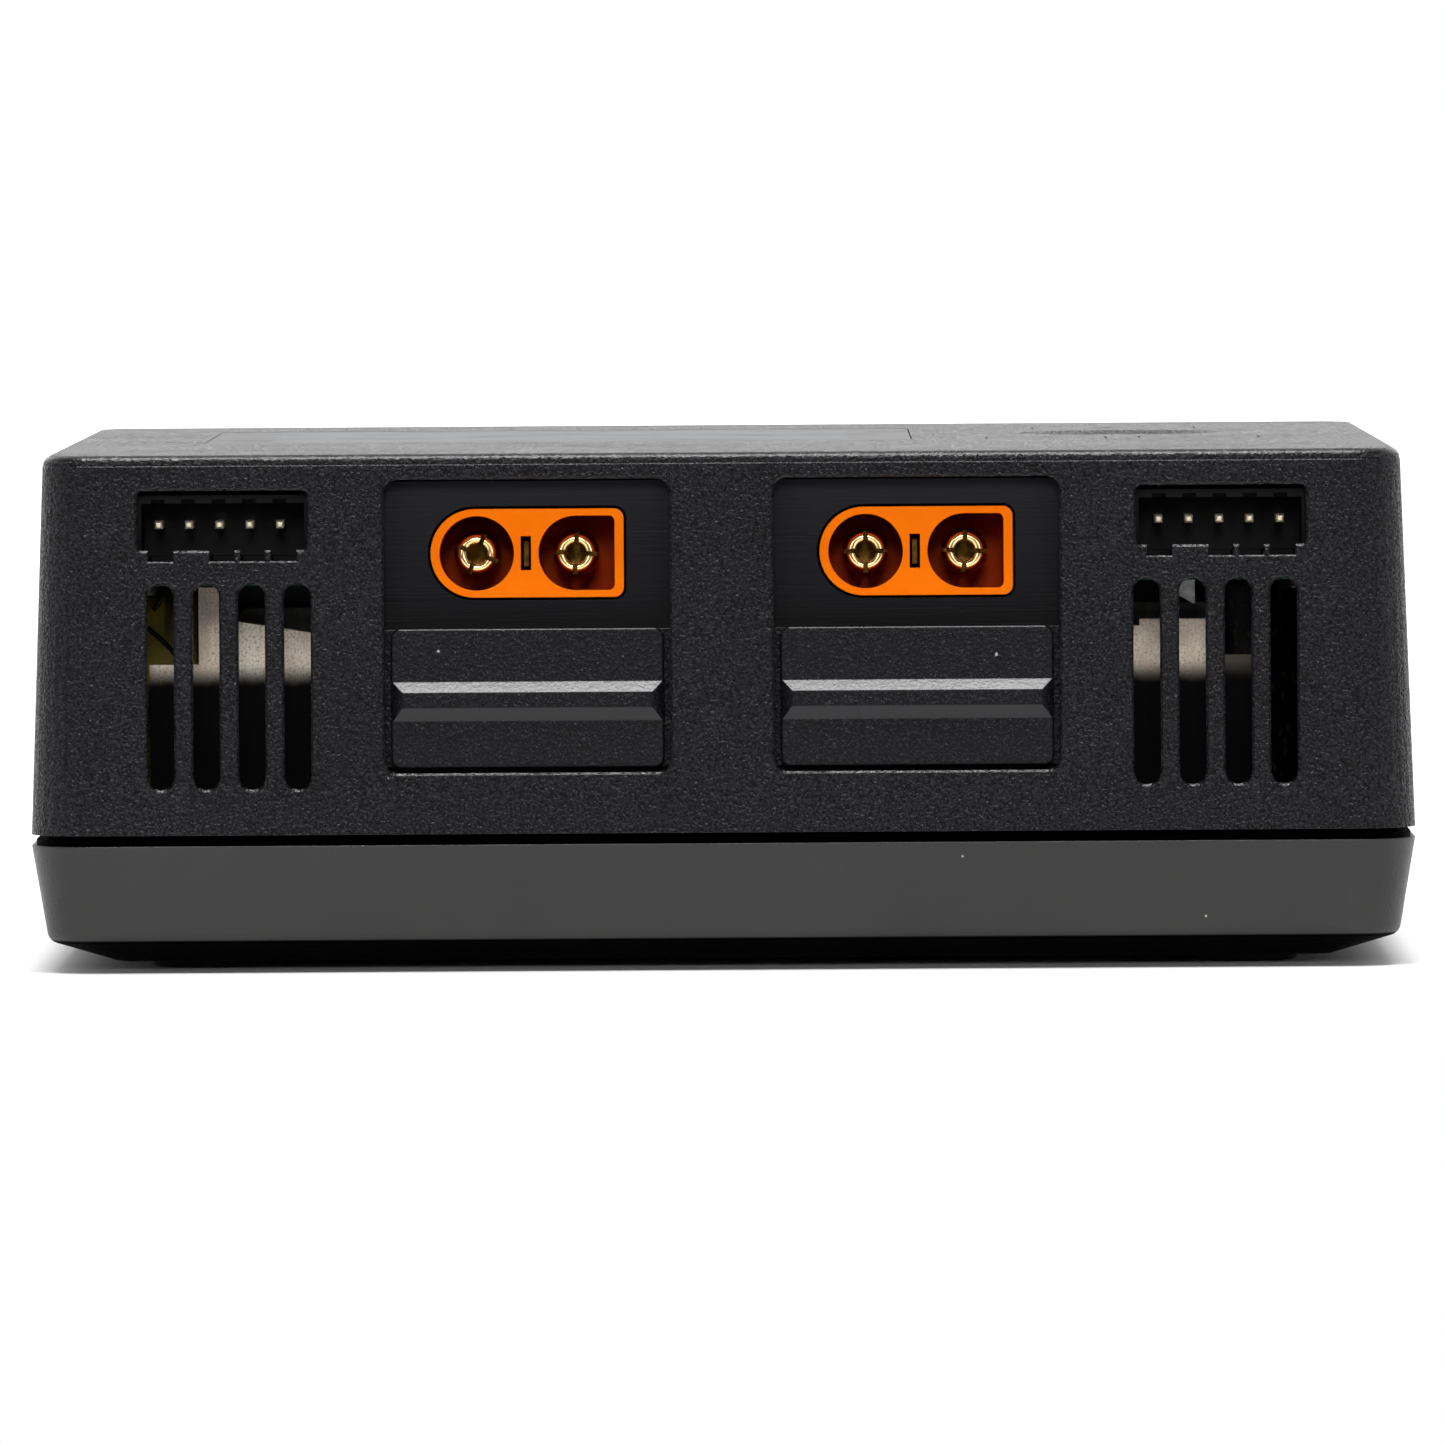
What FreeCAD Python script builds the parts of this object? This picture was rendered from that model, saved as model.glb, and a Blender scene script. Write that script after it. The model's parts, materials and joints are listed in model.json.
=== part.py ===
"""Two-channel balance battery charger: a drafted plastic housing with two output bays.

Each bay holds a small and a large output socket, and a sliding door that uncovers one of them at a time.
Millimetres, +Z up, origin on the table under the middle of the housing. The bays face -Y.
"""

import FreeCAD
import Part

import math
import os

V = FreeCAD.Vector
ORIGIN = V(0, 0, 0)
X_AXIS = V(1, 0, 0)
Y_AXIS = V(0, 1, 0)
Z_AXIS = V(0, 0, 1)

# ---- housing -------------------------------------------------------------------------------
WIDTH = 114.0  # along X, at the seam
DEPTH = 110.0  # along Y, at the seam
CORNER = 5.0  # radius of the upright corners at the seam
FOOT_HEIGHT = 0.75
BASE_Z = FOOT_HEIGHT  # underside of the lower shell
CHAMFER_Z = 2.62  # top of the underside's chamfer
LOWER_RIM_Z = 10.5  # the seam's lower edge
UPPER_RIM_Z = 11.4  # the seam's upper edge
PARTING_Z = 41.7  # a fine mould line runs round the walls here
TOP_Z = 42.6
WALL = 2.0
LEAN = 2.1  # degrees that every wall of the upper shell leans in
BASE_INSET = 6.8  # from the seam's outline to the underside's
CHAMFER_INSET = 1.35
PARTING_STEP = 0.06
TOP_FILLET = 0.8
SLOPE = math.tan(math.radians(LEAN))

# ---- vents ---------------------------------------------------------------------------------
SLOT_WIDTH = 2.2
SLOT_PITCH = 3.75
SLOT_LOW_Z = 15.15
SLOT_HIGH_Z = 32.05
FRONT_VENT_X = 40.5
EDGE_BREAK = 0.2  # chamfer round each opening in a wall

# ---- output bays ---------------------------------------------------------------------------
BAY_X = 16.0
BAY_Z = 28.45
BAY_WIDTH = 23.5
BAY_HEIGHT = 24.1
BAY_CORNER = 1.15
BAY_FLOOR = 3.0  # depth of the port plate's face below the wall
PLATE_THICKNESS = 1.5
PLATE_SCREW_X = (-9.0, 9.0)
PLATE_SCREW_V = -14.2
CHANNEL_HALF = 12.85  # half the width that the door's side tongues run in
DOOR_WIDTH = 22.4
DOOR_HEIGHT = 11.45
DOOR_LOW = -11.65  # the door's lower edge, from the bay's centre
DOOR_FACE = 0.55  # depth of the door's face below the wall
DOOR_BACK = 2.9
DOOR_CORNER = 0.8
BAR_FACE = -0.3  # the finger bar stands this far out of the wall
SMALL_V = 6.0  # centres of the two sockets, from the bay's centre
LARGE_V = -5.93
SOCKET_FACE = 3.1
SOCKET_BACK = 17.5
PORT_BOARD = 1.6
CONTACT_TIP = 4.0

# One output socket: outline, the two contacts, and the cavities round them.
SMALL_SOCKET = {
    "width": 15.9,
    "height": 7.3,
    "corner": 0.8,
    "contact_x": (-4.15, 4.0),
    "contact_r": 1.75,
    "bore_r": 0.85,
    "cavity_r": 3.07,
    "square_x": 7.2,
    "cavity_depth": 9.5,
    "slot_x": -0.1,
    "slot": (0.85, 2.8),
}
LARGE_SOCKET = {
    "width": 20.8,
    "height": 9.9,
    "corner": 1.0,
    "contact_x": (-5.55, 5.3),
    "contact_r": 2.5,
    "bore_r": 1.3,
    "cavity_r": 4.15,
    "square_x": 9.55,
    "cavity_depth": 11.0,
    "slot_x": -0.13,
    "slot": (1.0, 3.4),
}

# ---- balance headers -----------------------------------------------------------------------
HEADER_X = 41.0
HEADER_PITCH = 2.5
HEADER_PINS = 5
HEADER_PIN_SHIFT = {-1: -0.33, 1: -0.04}  # from the middle of the wall's opening, left and right
HEADER_WIDTH = 14.9
HEADER_LOW_Z = 33.45
HEADER_HIGH_Z = 39.3
HEADER_FACE_Y = -51.9
HEADER_DEPTH = 7.2
PIN_Z = 36.8
PIN_SIZE = 0.64
HEADER_OPENING = (14.0, 34.8, 39.7)  # width, low z, high z in the wall
HEADER_NOTCH_Z = 33.9
NOTCH_EDGE = 0.12
HEADER_NOTCHES = ((-6.07, -4.05), (-1.0, 1.0), (1.5, 3.5), (4.0, 6.1))

# ---- boards --------------------------------------------------------------------------------
BOARD = 1.6
POWER_Z = 5.2
POWER_TOP = POWER_Z + BOARD
CONTROL_Z = 31.8
CONTROL_TOP = CONTROL_Z + BOARD
CEILING_Z = TOP_Z - WALL
FLOOR_Z = BASE_Z + WALL
PLATE_Y = -39.4  # front of the two aluminium plates behind the front vents
PLATE_GAUGE = 2.5
CASE_SCREWS = ((-22, -29.5), (22, -29.5), (-46, 30), (46, 30))
CONTROL_SCREWS = ((-48, -38), (48, -38), (-48, 44), (48, 37.8))
POWER_SCREWS = ((-46.5, -42), (46.5, -38), (-46.5, 42), (46.5, 42))
POST_R = 3.6
BOSS_R = 2.9
FEET = ((-43, -40.5), (43, -40.5), (-43, 40.5), (43, 40.5))
FOOT_R = 4.5
FOOT_RECESS = 0.6

# ---- top panel -----------------------------------------------------------------------------
DISPLAY_X = -14.0
DISPLAY_Y = 12.0
LENS_SIZE = (60.0, 46.0, 3.0)  # width, depth, corner radius
LENS_THICKNESS = 1.1
LENS_SINK = 0.02
WINDOW_SIZE = (49.4, 37.2, 1.0)
WHEEL_X = 34.0
WHEEL_Y = 12.0
WHEEL_R = 6.1
WHEEL_Z = 36.35
WHEEL_WIDTH = 6.0
AXLE_R = 1.0
DISH_R = 40.0
DISH_DEPTH = 1.0
BUTTON_SINK = 0.0
BUTTON_GAP = 0.2
BUTTONS = {
    "channel_1_button": (27.5, -7.0, 10.0, 7.0),
    "channel_2_button": (40.5, -7.0, 10.0, 7.0),
    "back_button": (34.0, 31.0, 14.0, 7.0),
}

# ---- rear ----------------------------------------------------------------------------------
FAN_X = 24.0
FAN_Z = 25.4
FAN_SIZE = 30.0
FAN_FRONT_Y = 41.6
FAN_THICKNESS = 10.0
FAN_BORE = 13.9
FAN_HOLES = 12.0  # half the spacing of its screws
FAN_BOSS_Y = 52.93  # where the bosses for its screws meet the wall
INLET_X = -30.0
INLET_Z = 20.0
INLET_PIN_X = 4.3
INLET_PIN_R = 1.18
INLET_ROOT_R = 1.7  # the pins' shoulders, behind the cavity's floor
INLET_FLOOR = 13.2
USB_X = -8.0
USB_Z = CONTROL_TOP + 1.65


# ---- drawing helpers -----------------------------------------------------------------------
def block(x0, x1, y0, y1, z0, z1):
    return Part.makeBox(x1 - x0, y1 - y0, z1 - z0, V(x0, y0, z0))


def disc(radius, x, y, z0, z1):
    return Part.makeCylinder(radius, z1 - z0, V(x, y, z0), Z_AXIS)


def rod(radius, x, z, y0, y1):
    """A cylinder along Y."""
    return Part.makeCylinder(radius, y1 - y0, V(x, y0, z), Y_AXIS)


def closed_wire(steps, z):
    """A wire from steps of (x, y) corners; a step of two points is an arc's middle and its end."""
    edges = []
    last = V(steps[0][0], steps[0][1], z)
    for step in steps[1:]:
        if isinstance(step[0], tuple):
            middle = V(step[0][0], step[0][1], z)
            end = V(step[1][0], step[1][1], z)
            edges.append(Part.Arc(last, middle, end).toShape())
        else:
            end = V(step[0], step[1], z)
            edges.append(Part.LineSegment(last, end).toShape())
        last = end
    return Part.Wire(edges)


def rounded_wire(width, depth, radius, z=0.0, cx=0.0, cy=0.0):
    """Four lines and four arcs."""
    w = width / 2
    d = depth / 2
    r = radius
    k = r * (1 - math.cos(math.radians(45)))
    steps = [
        (-w + r, -d),
        (w - r, -d),
        ((w - k, -d + k), (w, -d + r)),
        (w, d - r),
        ((w - k, d - k), (w - r, d)),
        (-w + r, d),
        ((-w + k, d - k), (-w, d - r)),
        (-w, -d + r),
        ((-w + k, -d + k), (-w + r, -d)),
    ]
    wire = closed_wire(steps, z)
    wire.translate(V(cx, cy, 0))
    return wire


def stadium_wire(width, height, z=0.0):
    """A slot with round ends, upright when height is the longer."""
    if height >= width:
        r = width / 2
        h = height / 2 - r
        steps = [(r, -h), (r, h), ((0, h + r), (-r, h)), (-r, -h), ((0, -h - r), (r, -h))]
    else:
        r = height / 2
        w = width / 2 - r
        steps = [(-w, -r), (w, -r), ((w + r, 0), (w, r)), (-w, r), ((-w - r, 0), (-w, -r))]
    return closed_wire(steps, z)


def socket_wire(half_width, half_height, corner, z=0.0):
    """Round at the left end and square at the right, so that a plug goes in one way only."""
    w = half_width
    h = half_height
    c = corner
    k = c * (1 - math.cos(math.radians(45)))
    steps = [
        (-w + h, -h),
        (w - c, -h),
        ((w - k, -h + k), (w, -h + c)),
        (w, h - c),
        ((w - k, h - k), (w - c, h)),
        (-w + h, h),
        ((-w, 0), (-w + h, -h)),
    ]
    return closed_wire(steps, z)


def prism(wire, height):
    return Part.Face(wire).extrude(V(0, 0, height))


def loft(wires):
    return Part.makeLoft(wires, True, True)


def stand_up(shape):
    """Turns a shape drawn flat into a wall's own frame: its Y becomes up, and its -Z goes into the wall."""
    shape.rotate(ORIGIN, X_AXIS, 90)
    return shape


def wall_prism(wire, y0, y1):
    """A flat outline as a prism from depth y0 to y1 behind a wall's face."""
    solid = stand_up(Part.Face(wire).extrude(V(0, 0, y0 - y1)))
    solid.translate(V(0, y0, 0))
    return solid


def opening(outline, depth, edge=EDGE_BREAK):
    """A hole through a wall with a broken outer edge. outline(grow, z) draws it, grown by grow."""
    hole = wall_prism(outline(0.0, 0.0), -1.0, depth)
    flare = stand_up(loft([outline(edge * 1.5, edge * 0.5), outline(0.0, -edge)]))
    return hole.fuse(flare)


def slot_opening(height, depth=3.0):
    return opening(lambda grow, z: stadium_wire(SLOT_WIDTH + 2 * grow, height + 2 * grow, z), depth)


def rounded_opening(width, height, radius, depth=3.0):
    return opening(
        lambda grow, z: rounded_wire(width + 2 * grow, height + 2 * grow, radius + grow, z), depth
    )


def wall_inset(z):
    """How far the upper shell's outside has leaned in at height z."""
    return (z - UPPER_RIM_Z) * SLOPE


def on_front(shape, x, z):
    """Places a shape drawn in a wall's frame on the front wall, which leans back."""
    placed = shape.copy()
    placed.rotate(ORIGIN, X_AXIS, -LEAN)
    placed.translate(V(x, -DEPTH / 2 + wall_inset(z), z))
    return placed


def on_rear(shape, x, z):
    placed = shape.copy()
    placed.rotate(ORIGIN, Z_AXIS, 180)
    placed.rotate(ORIGIN, X_AXIS, LEAN)
    placed.translate(V(x, DEPTH / 2 - wall_inset(z), z))
    return placed


def on_side(shape, side, y, z):
    """side is 1 for the right wall and -1 for the left."""
    placed = shape.copy()
    placed.rotate(ORIGIN, Z_AXIS, 90 * side)
    placed.rotate(ORIGIN, Y_AXIS, -LEAN * side)
    placed.translate(V(side * (WIDTH / 2 - wall_inset(z)), y, z))
    return placed


def section(inset, z):
    """The housing's outline, drawn in by inset."""
    return rounded_wire(WIDTH - 2 * inset, DEPTH - 2 * inset, max(CORNER - inset, 2.2), z)


def ring(outer_inset, inner_inset, z0, z1):
    """A rim that follows the outline and the walls' lean."""
    low = wall_inset(max(z0, UPPER_RIM_Z))
    high = wall_inset(max(z1, UPPER_RIM_Z))
    outside = loft([section(outer_inset + low, z0), section(outer_inset + high, z1)])
    inside = loft([section(inner_inset + low, z0 - 0.01), section(inner_inset + high, z1 + 0.01)])
    return outside.cut(inside)


def edges_at(shape, z):
    """The edges that lie wholly at height z."""
    found = []
    for edge in shape.Edges:
        box = edge.BoundBox
        if abs(box.ZMin - z) < 1e-4 and abs(box.ZMax - z) < 1e-4:
            found.append(edge)
    return found


def screw(shank_r, length, head_r, head_height):
    """Points up, with its head below z = 0 and a cross recess in the head."""
    head = Part.makeCylinder(head_r, head_height, V(0, 0, -head_height), Z_AXIS)
    head = head.makeFillet(head_height * 0.3, edges_at(head, -head_height))
    arm = head_r * 0.6
    slot = head_r * 0.14
    deep = head_height * 0.6
    recess = block(-arm, arm, -slot, slot, -head_height, -head_height + deep)
    recess = recess.fuse(block(-slot, slot, -arm, arm, -head_height, -head_height + deep))
    shank = Part.makeCylinder(shank_r, length, ORIGIN, Z_AXIS)
    tip = Part.makeCone(shank_r, shank_r * 0.35, shank_r, V(0, 0, length), Z_AXIS)
    return head.cut(recess).fuse([shank, tip])


def at(shape, x, y, z):
    placed = shape.copy()
    placed.translate(V(x, y, z))
    return placed


def group(shapes):
    return Part.makeCompound(shapes)


# ---- shells --------------------------------------------------------------------------------
def housing_blank():
    """The upper shell's outside: leaning walls, a fine step at the mould line, and a soft top edge."""
    walls = loft([section(0.0, UPPER_RIM_Z), section(wall_inset(PARTING_Z), PARTING_Z)])
    low = PARTING_Z - 3.0
    cap = loft(
        [
            section(wall_inset(low) + PARTING_STEP, low),
            section(wall_inset(TOP_Z) + PARTING_STEP, TOP_Z),
        ]
    )
    cap = cap.makeFillet(TOP_FILLET, edges_at(cap, TOP_Z))
    return walls.fuse(cap)


def notch_opening(x0, x1, low, high):
    """A notch below a larger hole, open at its top."""

    def outline(grow, z):
        left = x0 - grow
        right = x1 + grow
        floor = low - grow
        return closed_wire([(left, floor), (right, floor), (right, high), (left, high), (left, floor)], z)

    return opening(outline, 3.0, NOTCH_EDGE)


def balance_opening():
    """The wall's hole in front of a balance header, with the notches that key its plug."""
    width, low, high = HEADER_OPENING
    middle = (low + high) / 2
    hole = rounded_opening(width, high - low, 0.5)
    for x0, x1 in HEADER_NOTCHES:
        hole = hole.fuse(notch_opening(x0, x1, HEADER_NOTCH_Z - middle, low - middle + 0.3))
    return hole, middle


def front_openings():
    cuts = []
    bay = rounded_opening(BAY_WIDTH, BAY_HEIGHT, BAY_CORNER)
    hole, hole_z = balance_opening()
    slot = slot_opening(SLOT_HIGH_Z - SLOT_LOW_Z)
    slot_z = (SLOT_HIGH_Z + SLOT_LOW_Z) / 2
    pilots = [rod(1.0, x, PLATE_SCREW_V, 1.15, 3.0) for x in PLATE_SCREW_X]
    for side in (-1, 1):
        cuts.append(on_front(bay, side * BAY_X, BAY_Z))
        cuts += [on_front(pilot, side * BAY_X, BAY_Z) for pilot in pilots]
        cuts.append(on_front(hole, side * HEADER_X, hole_z))
        for i in range(4):
            cuts.append(on_front(slot, side * FRONT_VENT_X + (i - 1.5) * SLOT_PITCH, slot_z))
    return cuts


def side_openings():
    slot = slot_opening(SLOT_HIGH_Z - SLOT_LOW_Z)
    slot_z = (SLOT_HIGH_Z + SLOT_LOW_Z) / 2
    return [on_side(slot, side, (i - 3.5) * SLOT_PITCH, slot_z) for side in (-1, 1) for i in range(8)]


def rear_openings():
    cuts = []
    for i in range(7):
        x = (i - 3) * SLOT_PITCH
        half = math.sqrt(12.6**2 - x**2)
        slot = slot_opening(half - 1.0)
        for side in (-1, 1):
            cuts.append(on_rear(slot, FAN_X + x, FAN_Z + side * (half + 1.0) / 2))
    for x in (-FAN_HOLES, FAN_HOLES):
        for z in (-FAN_HOLES, FAN_HOLES):
            cuts.append(rod(1.22, FAN_X + x, FAN_Z + z, FAN_FRONT_Y, FAN_BOSS_Y))
    cuts.append(on_rear(rounded_opening(20.4, 12.4, 2.0), INLET_X, INLET_Z))
    usb = opening(lambda grow, z: stadium_wire(10.0 + 2 * grow, 4.2 + 2 * grow, z), 3.0, 0.4)
    cuts.append(on_rear(usb, USB_X, USB_Z))
    return cuts


def top_openings():
    width, depth, radius = LENS_SIZE
    rebate = rounded_wire(width + 0.2, depth + 0.2, radius, TOP_Z - LENS_THICKNESS - LENS_SINK)
    window = rounded_wire(*WINDOW_SIZE, CEILING_Z - 1.0)
    cuts = [
        at(prism(rebate, 3.0), DISPLAY_X, DISPLAY_Y, 0),
        at(prism(window, 4.0), DISPLAY_X, DISPLAY_Y, 0),
        Part.makeSphere(DISH_R, V(WHEEL_X, WHEEL_Y, TOP_Z + DISH_R - DISH_DEPTH)),
        at(prism(rounded_wire(WHEEL_WIDTH + 0.8, 10.2, 0.6, CEILING_Z - 1.0), 4.0), WHEEL_X, WHEEL_Y, 0),
    ]
    for x, y, wide, deep in BUTTONS.values():
        hole = rounded_wire(wide + 2 * BUTTON_GAP, deep + 2 * BUTTON_GAP, 1.2 + BUTTON_GAP, CEILING_Z - 1.0)
        cuts.append(at(prism(hole, 4.0), x, y, 0))
    return cuts


def upper_shell():
    shell = housing_blank()
    cavity = loft([section(WALL, UPPER_RIM_Z - 0.01), section(WALL + wall_inset(CEILING_Z), CEILING_Z)])
    rabbet = loft([section(1.0, UPPER_RIM_Z - 0.01), section(1.0 + wall_inset(12.8), 12.8)])
    shell = shell.cut([cavity, rabbet])
    shell = shell.cut(front_openings() + side_openings() + rear_openings() + top_openings())
    bosses = []
    for x, y in CASE_SCREWS:
        bosses.append(disc(BOSS_R, x, y, 14.0, CEILING_Z + 0.5).cut(disc(1.52, x, y, 13.0, 30.0)))
    for x, y in CONTROL_SCREWS:
        bosses.append(disc(2.6, x, y, CONTROL_TOP, CEILING_Z + 0.5).cut(disc(1.02, x, y, 33.0, 39.5)))
    for x in (-FAN_HOLES, FAN_HOLES):
        for z in (-FAN_HOLES, FAN_HOLES):
            boss = rod(2.8, FAN_X + x, FAN_Z + z, FAN_FRONT_Y + FAN_THICKNESS + 0.05, FAN_BOSS_Y)
            bosses.append(boss.cut(rod(1.22, FAN_X + x, FAN_Z + z, FAN_FRONT_Y, DEPTH / 2)))
    return shell.fuse(bosses)


def lower_shell():
    outside = loft(
        [section(BASE_INSET, BASE_Z), section(CHAMFER_INSET, CHAMFER_Z), section(0.0, LOWER_RIM_Z)]
    )
    outside = outside.makeFillet(1.1, edges_at(outside, CHAMFER_Z))
    outside = outside.makeFillet(0.9, edges_at(outside, BASE_Z))
    inside = loft(
        [
            section(BASE_INSET + 1.2, FLOOR_Z),
            section(CHAMFER_INSET + 2.0, CHAMFER_Z + 1.85),
            section(WALL, LOWER_RIM_Z + 0.01),
        ]
    )
    shell = outside.cut(inside)
    shell = shell.fuse([ring(0.4, WALL, LOWER_RIM_Z - 0.2, 11.0), ring(1.1, WALL, 10.9, 12.6)])
    posts = []
    cuts = []
    for x, y in CASE_SCREWS:
        posts.append(disc(POST_R, x, y, FLOOR_Z - 0.5, 13.95))
        cuts.append(disc(2.9, x, y, 0.0, 3.6))
        cuts.append(disc(1.7, x, y, 0.0, 15.0))
    for x, y in POWER_SCREWS:
        posts.append(disc(2.6, x, y, FLOOR_Z - 0.5, POWER_Z))
        cuts.append(disc(1.02, x, y, 2.2, POWER_Z + 1.0))
    for x, y in FEET:
        cuts.append(disc(FOOT_R + 0.1, x, y, 0.0, BASE_Z + FOOT_RECESS))
    vent = prism(stadium_wire(SLOT_WIDTH, 13.0, 0.0), 4.0)
    for i in range(9):
        x = (i - 4) * SLOT_PITCH
        cuts.append(at(vent, x, -26.0, 0.0))
        cuts.append(at(vent, x, 28.0, 0.0))
    cuts.append(prism(rounded_wire(60.2, 30.2, 1.6, 0.0, 0.0, 1.0), BASE_Z + 0.2))
    return shell.fuse(posts).cut(cuts)


def rubber_feet():
    feet = []
    for x, y in FEET:
        foot = disc(FOOT_R, x, y, 0.0, BASE_Z + FOOT_RECESS)
        feet.append(foot.makeFillet(0.35, edges_at(foot, 0.0)))
    return group(feet)


def rating_label():
    return prism(rounded_wire(60.0, 30.0, 1.5, BASE_Z + 0.05, 0.0, 1.0), 0.15)


# ---- output bays ---------------------------------------------------------------------------
def port_plate():
    """The floor of a bay, with the rim that makes the door's channel behind the wall."""
    half = CHANNEL_HALF + 1.05
    low = -16.0
    high = BAY_HEIGHT / 2 - 0.1
    back = BAY_FLOOR + PLATE_THICKNESS
    plate = block(-half, half, BAY_FLOOR, back, low, high)
    rims = [
        block(-half, -CHANNEL_HALF, WALL + 0.05, BAY_FLOOR, low, high),
        block(CHANNEL_HALF, half, WALL + 0.05, BAY_FLOOR, low, high),
        block(-half, half, WALL + 0.05, BAY_FLOOR, low, -BAY_HEIGHT / 2),
    ]
    plate = plate.fuse(rims)
    for size, v in ((SMALL_SOCKET, SMALL_V), (LARGE_SOCKET, LARGE_V)):
        gap = 0.22
        wire = socket_wire(size["width"] / 2 + gap, size["height"] / 2 + gap, size["corner"] + gap)
        plate = plate.cut(at(wall_prism(wire, 0.0, 6.0), 0, 0, v))
    for x in PLATE_SCREW_X:
        plate = plate.cut(rod(1.1, x, PLATE_SCREW_V, 0.0, 6.0))
    return plate


def port_door():
    """Slides up over the small socket. A finger bar runs across it, and tongues at its sides hold it in."""
    middle = DOOR_LOW + DOOR_HEIGHT / 2
    top = DOOR_LOW + DOOR_HEIGHT
    slab = wall_prism(rounded_wire(DOOR_WIDTH, DOOR_HEIGHT, DOOR_CORNER), DOOR_FACE, DOOR_BACK)
    face_edges = [e for e in slab.Edges if abs(e.BoundBox.YMax - DOOR_FACE) < 1e-4]
    slab = slab.makeFillet(0.22, face_edges)
    slab.translate(V(0, 0, middle))
    base = (11.1, 4.35, 7.63)  # half width, and the bar's top and bottom edges below the door's top
    front = (10.25, 5.27, 6.48)
    wires = []
    for (half, upper, lower), depth in ((base, DOOR_FACE + 0.02), (front, BAR_FACE)):
        wire = closed_wire(
            [(-half, -lower), (half, -lower), (half, -upper), (-half, -upper), (-half, -lower)], -depth
        )
        wires.append(wire)
    bar = stand_up(loft(wires))
    front_edges = [e for e in bar.Edges if abs(e.BoundBox.YMax - BAR_FACE) < 1e-4]
    bar = bar.makeFillet(0.2, front_edges)
    bar.translate(V(0, 0, top))
    tongues = block(-12.6, 12.6, 2.15, 2.85, DOOR_LOW + 0.05, top - 0.05)
    pocket = block(-9.0, 9.0, 1.9, DOOR_BACK + 0.1, DOOR_LOW + 1.4, top - 1.4)
    return slab.fuse([bar, tongues]).cut(pocket)


def output_socket(size):
    """The insulating body: round and square cavities, with the data contact's narrow slot between them."""
    back = SOCKET_BACK
    body = wall_prism(
        socket_wire(size["width"] / 2, size["height"] / 2, size["corner"]), SOCKET_FACE, back
    )
    deep = SOCKET_FACE + size["cavity_depth"]
    r = size["cavity_r"]
    left, right = size["contact_x"]
    square = block(right, size["square_x"], 0.0, deep, -r, r)
    far = size["square_x"] - 0.01
    far_edges = [e for e in square.Edges if e.BoundBox.XMin > far and e.BoundBox.YLength > 1]
    cuts = [rod(r, left, 0, 0.0, deep), rod(r, right, 0, 0.0, deep), square.makeFillet(0.5, far_edges)]
    cuts += [rod(size["contact_r"] + 0.03, x, 0, deep - 1.0, back + 1.0) for x in (left, right)]
    wide, tall = size["slot"]
    x = size["slot_x"]
    cuts.append(block(x - wide / 2, x + wide / 2, 0.0, back + 1.0, -tall / 2, tall / 2))
    return body.cut(cuts)


def bullet_contact(size, turn):
    """A split bullet with a rounded lip, swelling behind it, and a solder tail through the port board."""
    r = size["contact_r"]
    tip = CONTACT_TIP
    back = SOCKET_BACK - 0.1
    inner = V(size["bore_r"] * 0.96, tip + 0.3, 0)
    outer = V(r * 0.89, tip + 0.35, 0)
    lip = Part.Arc(inner, V((inner.x + outer.x) / 2, tip, 0), outer).toShape()
    root = V(r, tip + 6.2, 0)
    swell = Part.Arc(outer, V(r * 1.075, tip + 2.6, 0), root).toShape()
    rest = Part.makePolygon([root, V(r, back, 0), V(0, back, 0), V(0, inner.y, 0), inner])
    profile = Part.Wire([lip, swell] + rest.Edges)
    body = Part.Face(profile).revolve(ORIGIN, Y_AXIS, 360)
    split = tip + 6.5
    cuts = [rod(size["bore_r"], 0, 0, 0.0, split + 0.8)]
    cuts.append(block(-0.2, 0.2, 0.0, split, -r - 1, r + 1))
    cuts.append(block(-r - 1, r + 1, 0.0, split, -0.2, 0.2))
    body = body.cut(cuts)
    body.rotate(ORIGIN, Y_AXIS, turn)
    return body.fuse(rod(0.9, 0, 0, SOCKET_BACK - 0.5, SOCKET_BACK + PORT_BOARD + 1.0))


def socket_contacts(size, turns):
    contacts = []
    for x, turn in zip(size["contact_x"], turns):
        contacts.append(at(bullet_contact(size, turn), x, 0, 0))
    half = size["slot"][1] / 2 - 0.35
    x = size["slot_x"]
    contacts.append(block(x - 0.2, x + 0.2, SOCKET_FACE + 2.4, SOCKET_BACK - 0.1, -half, half))
    return group(contacts)


def port_board():
    """One upright board behind both bays. Every output socket's tails come through it."""
    low = 14.0 - BAY_Z
    high = 40.0 - BAY_Z
    board = block(-28.0, 28.0, SOCKET_BACK, SOCKET_BACK + PORT_BOARD, low, high)
    for side in (-1, 1):
        for size, v in ((SMALL_SOCKET, SMALL_V), (LARGE_SOCKET, LARGE_V)):
            for x in size["contact_x"]:
                board = board.cut(rod(1.0, side * BAY_X + x, v, 10.0, 25.0))
    return on_front(board, 0.0, BAY_Z)


def port_plate_screws():
    one = screw(0.98, 2.3, 1.7, 1.1)
    one.rotate(ORIGIN, X_AXIS, 90)
    back = BAY_FLOOR + PLATE_THICKNESS
    screws = []
    for side in (-1, 1):
        for x in PLATE_SCREW_X:
            screws.append(on_front(at(one, x, back, PLATE_SCREW_V), side * BAY_X, BAY_Z))
    return group(screws)


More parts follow.
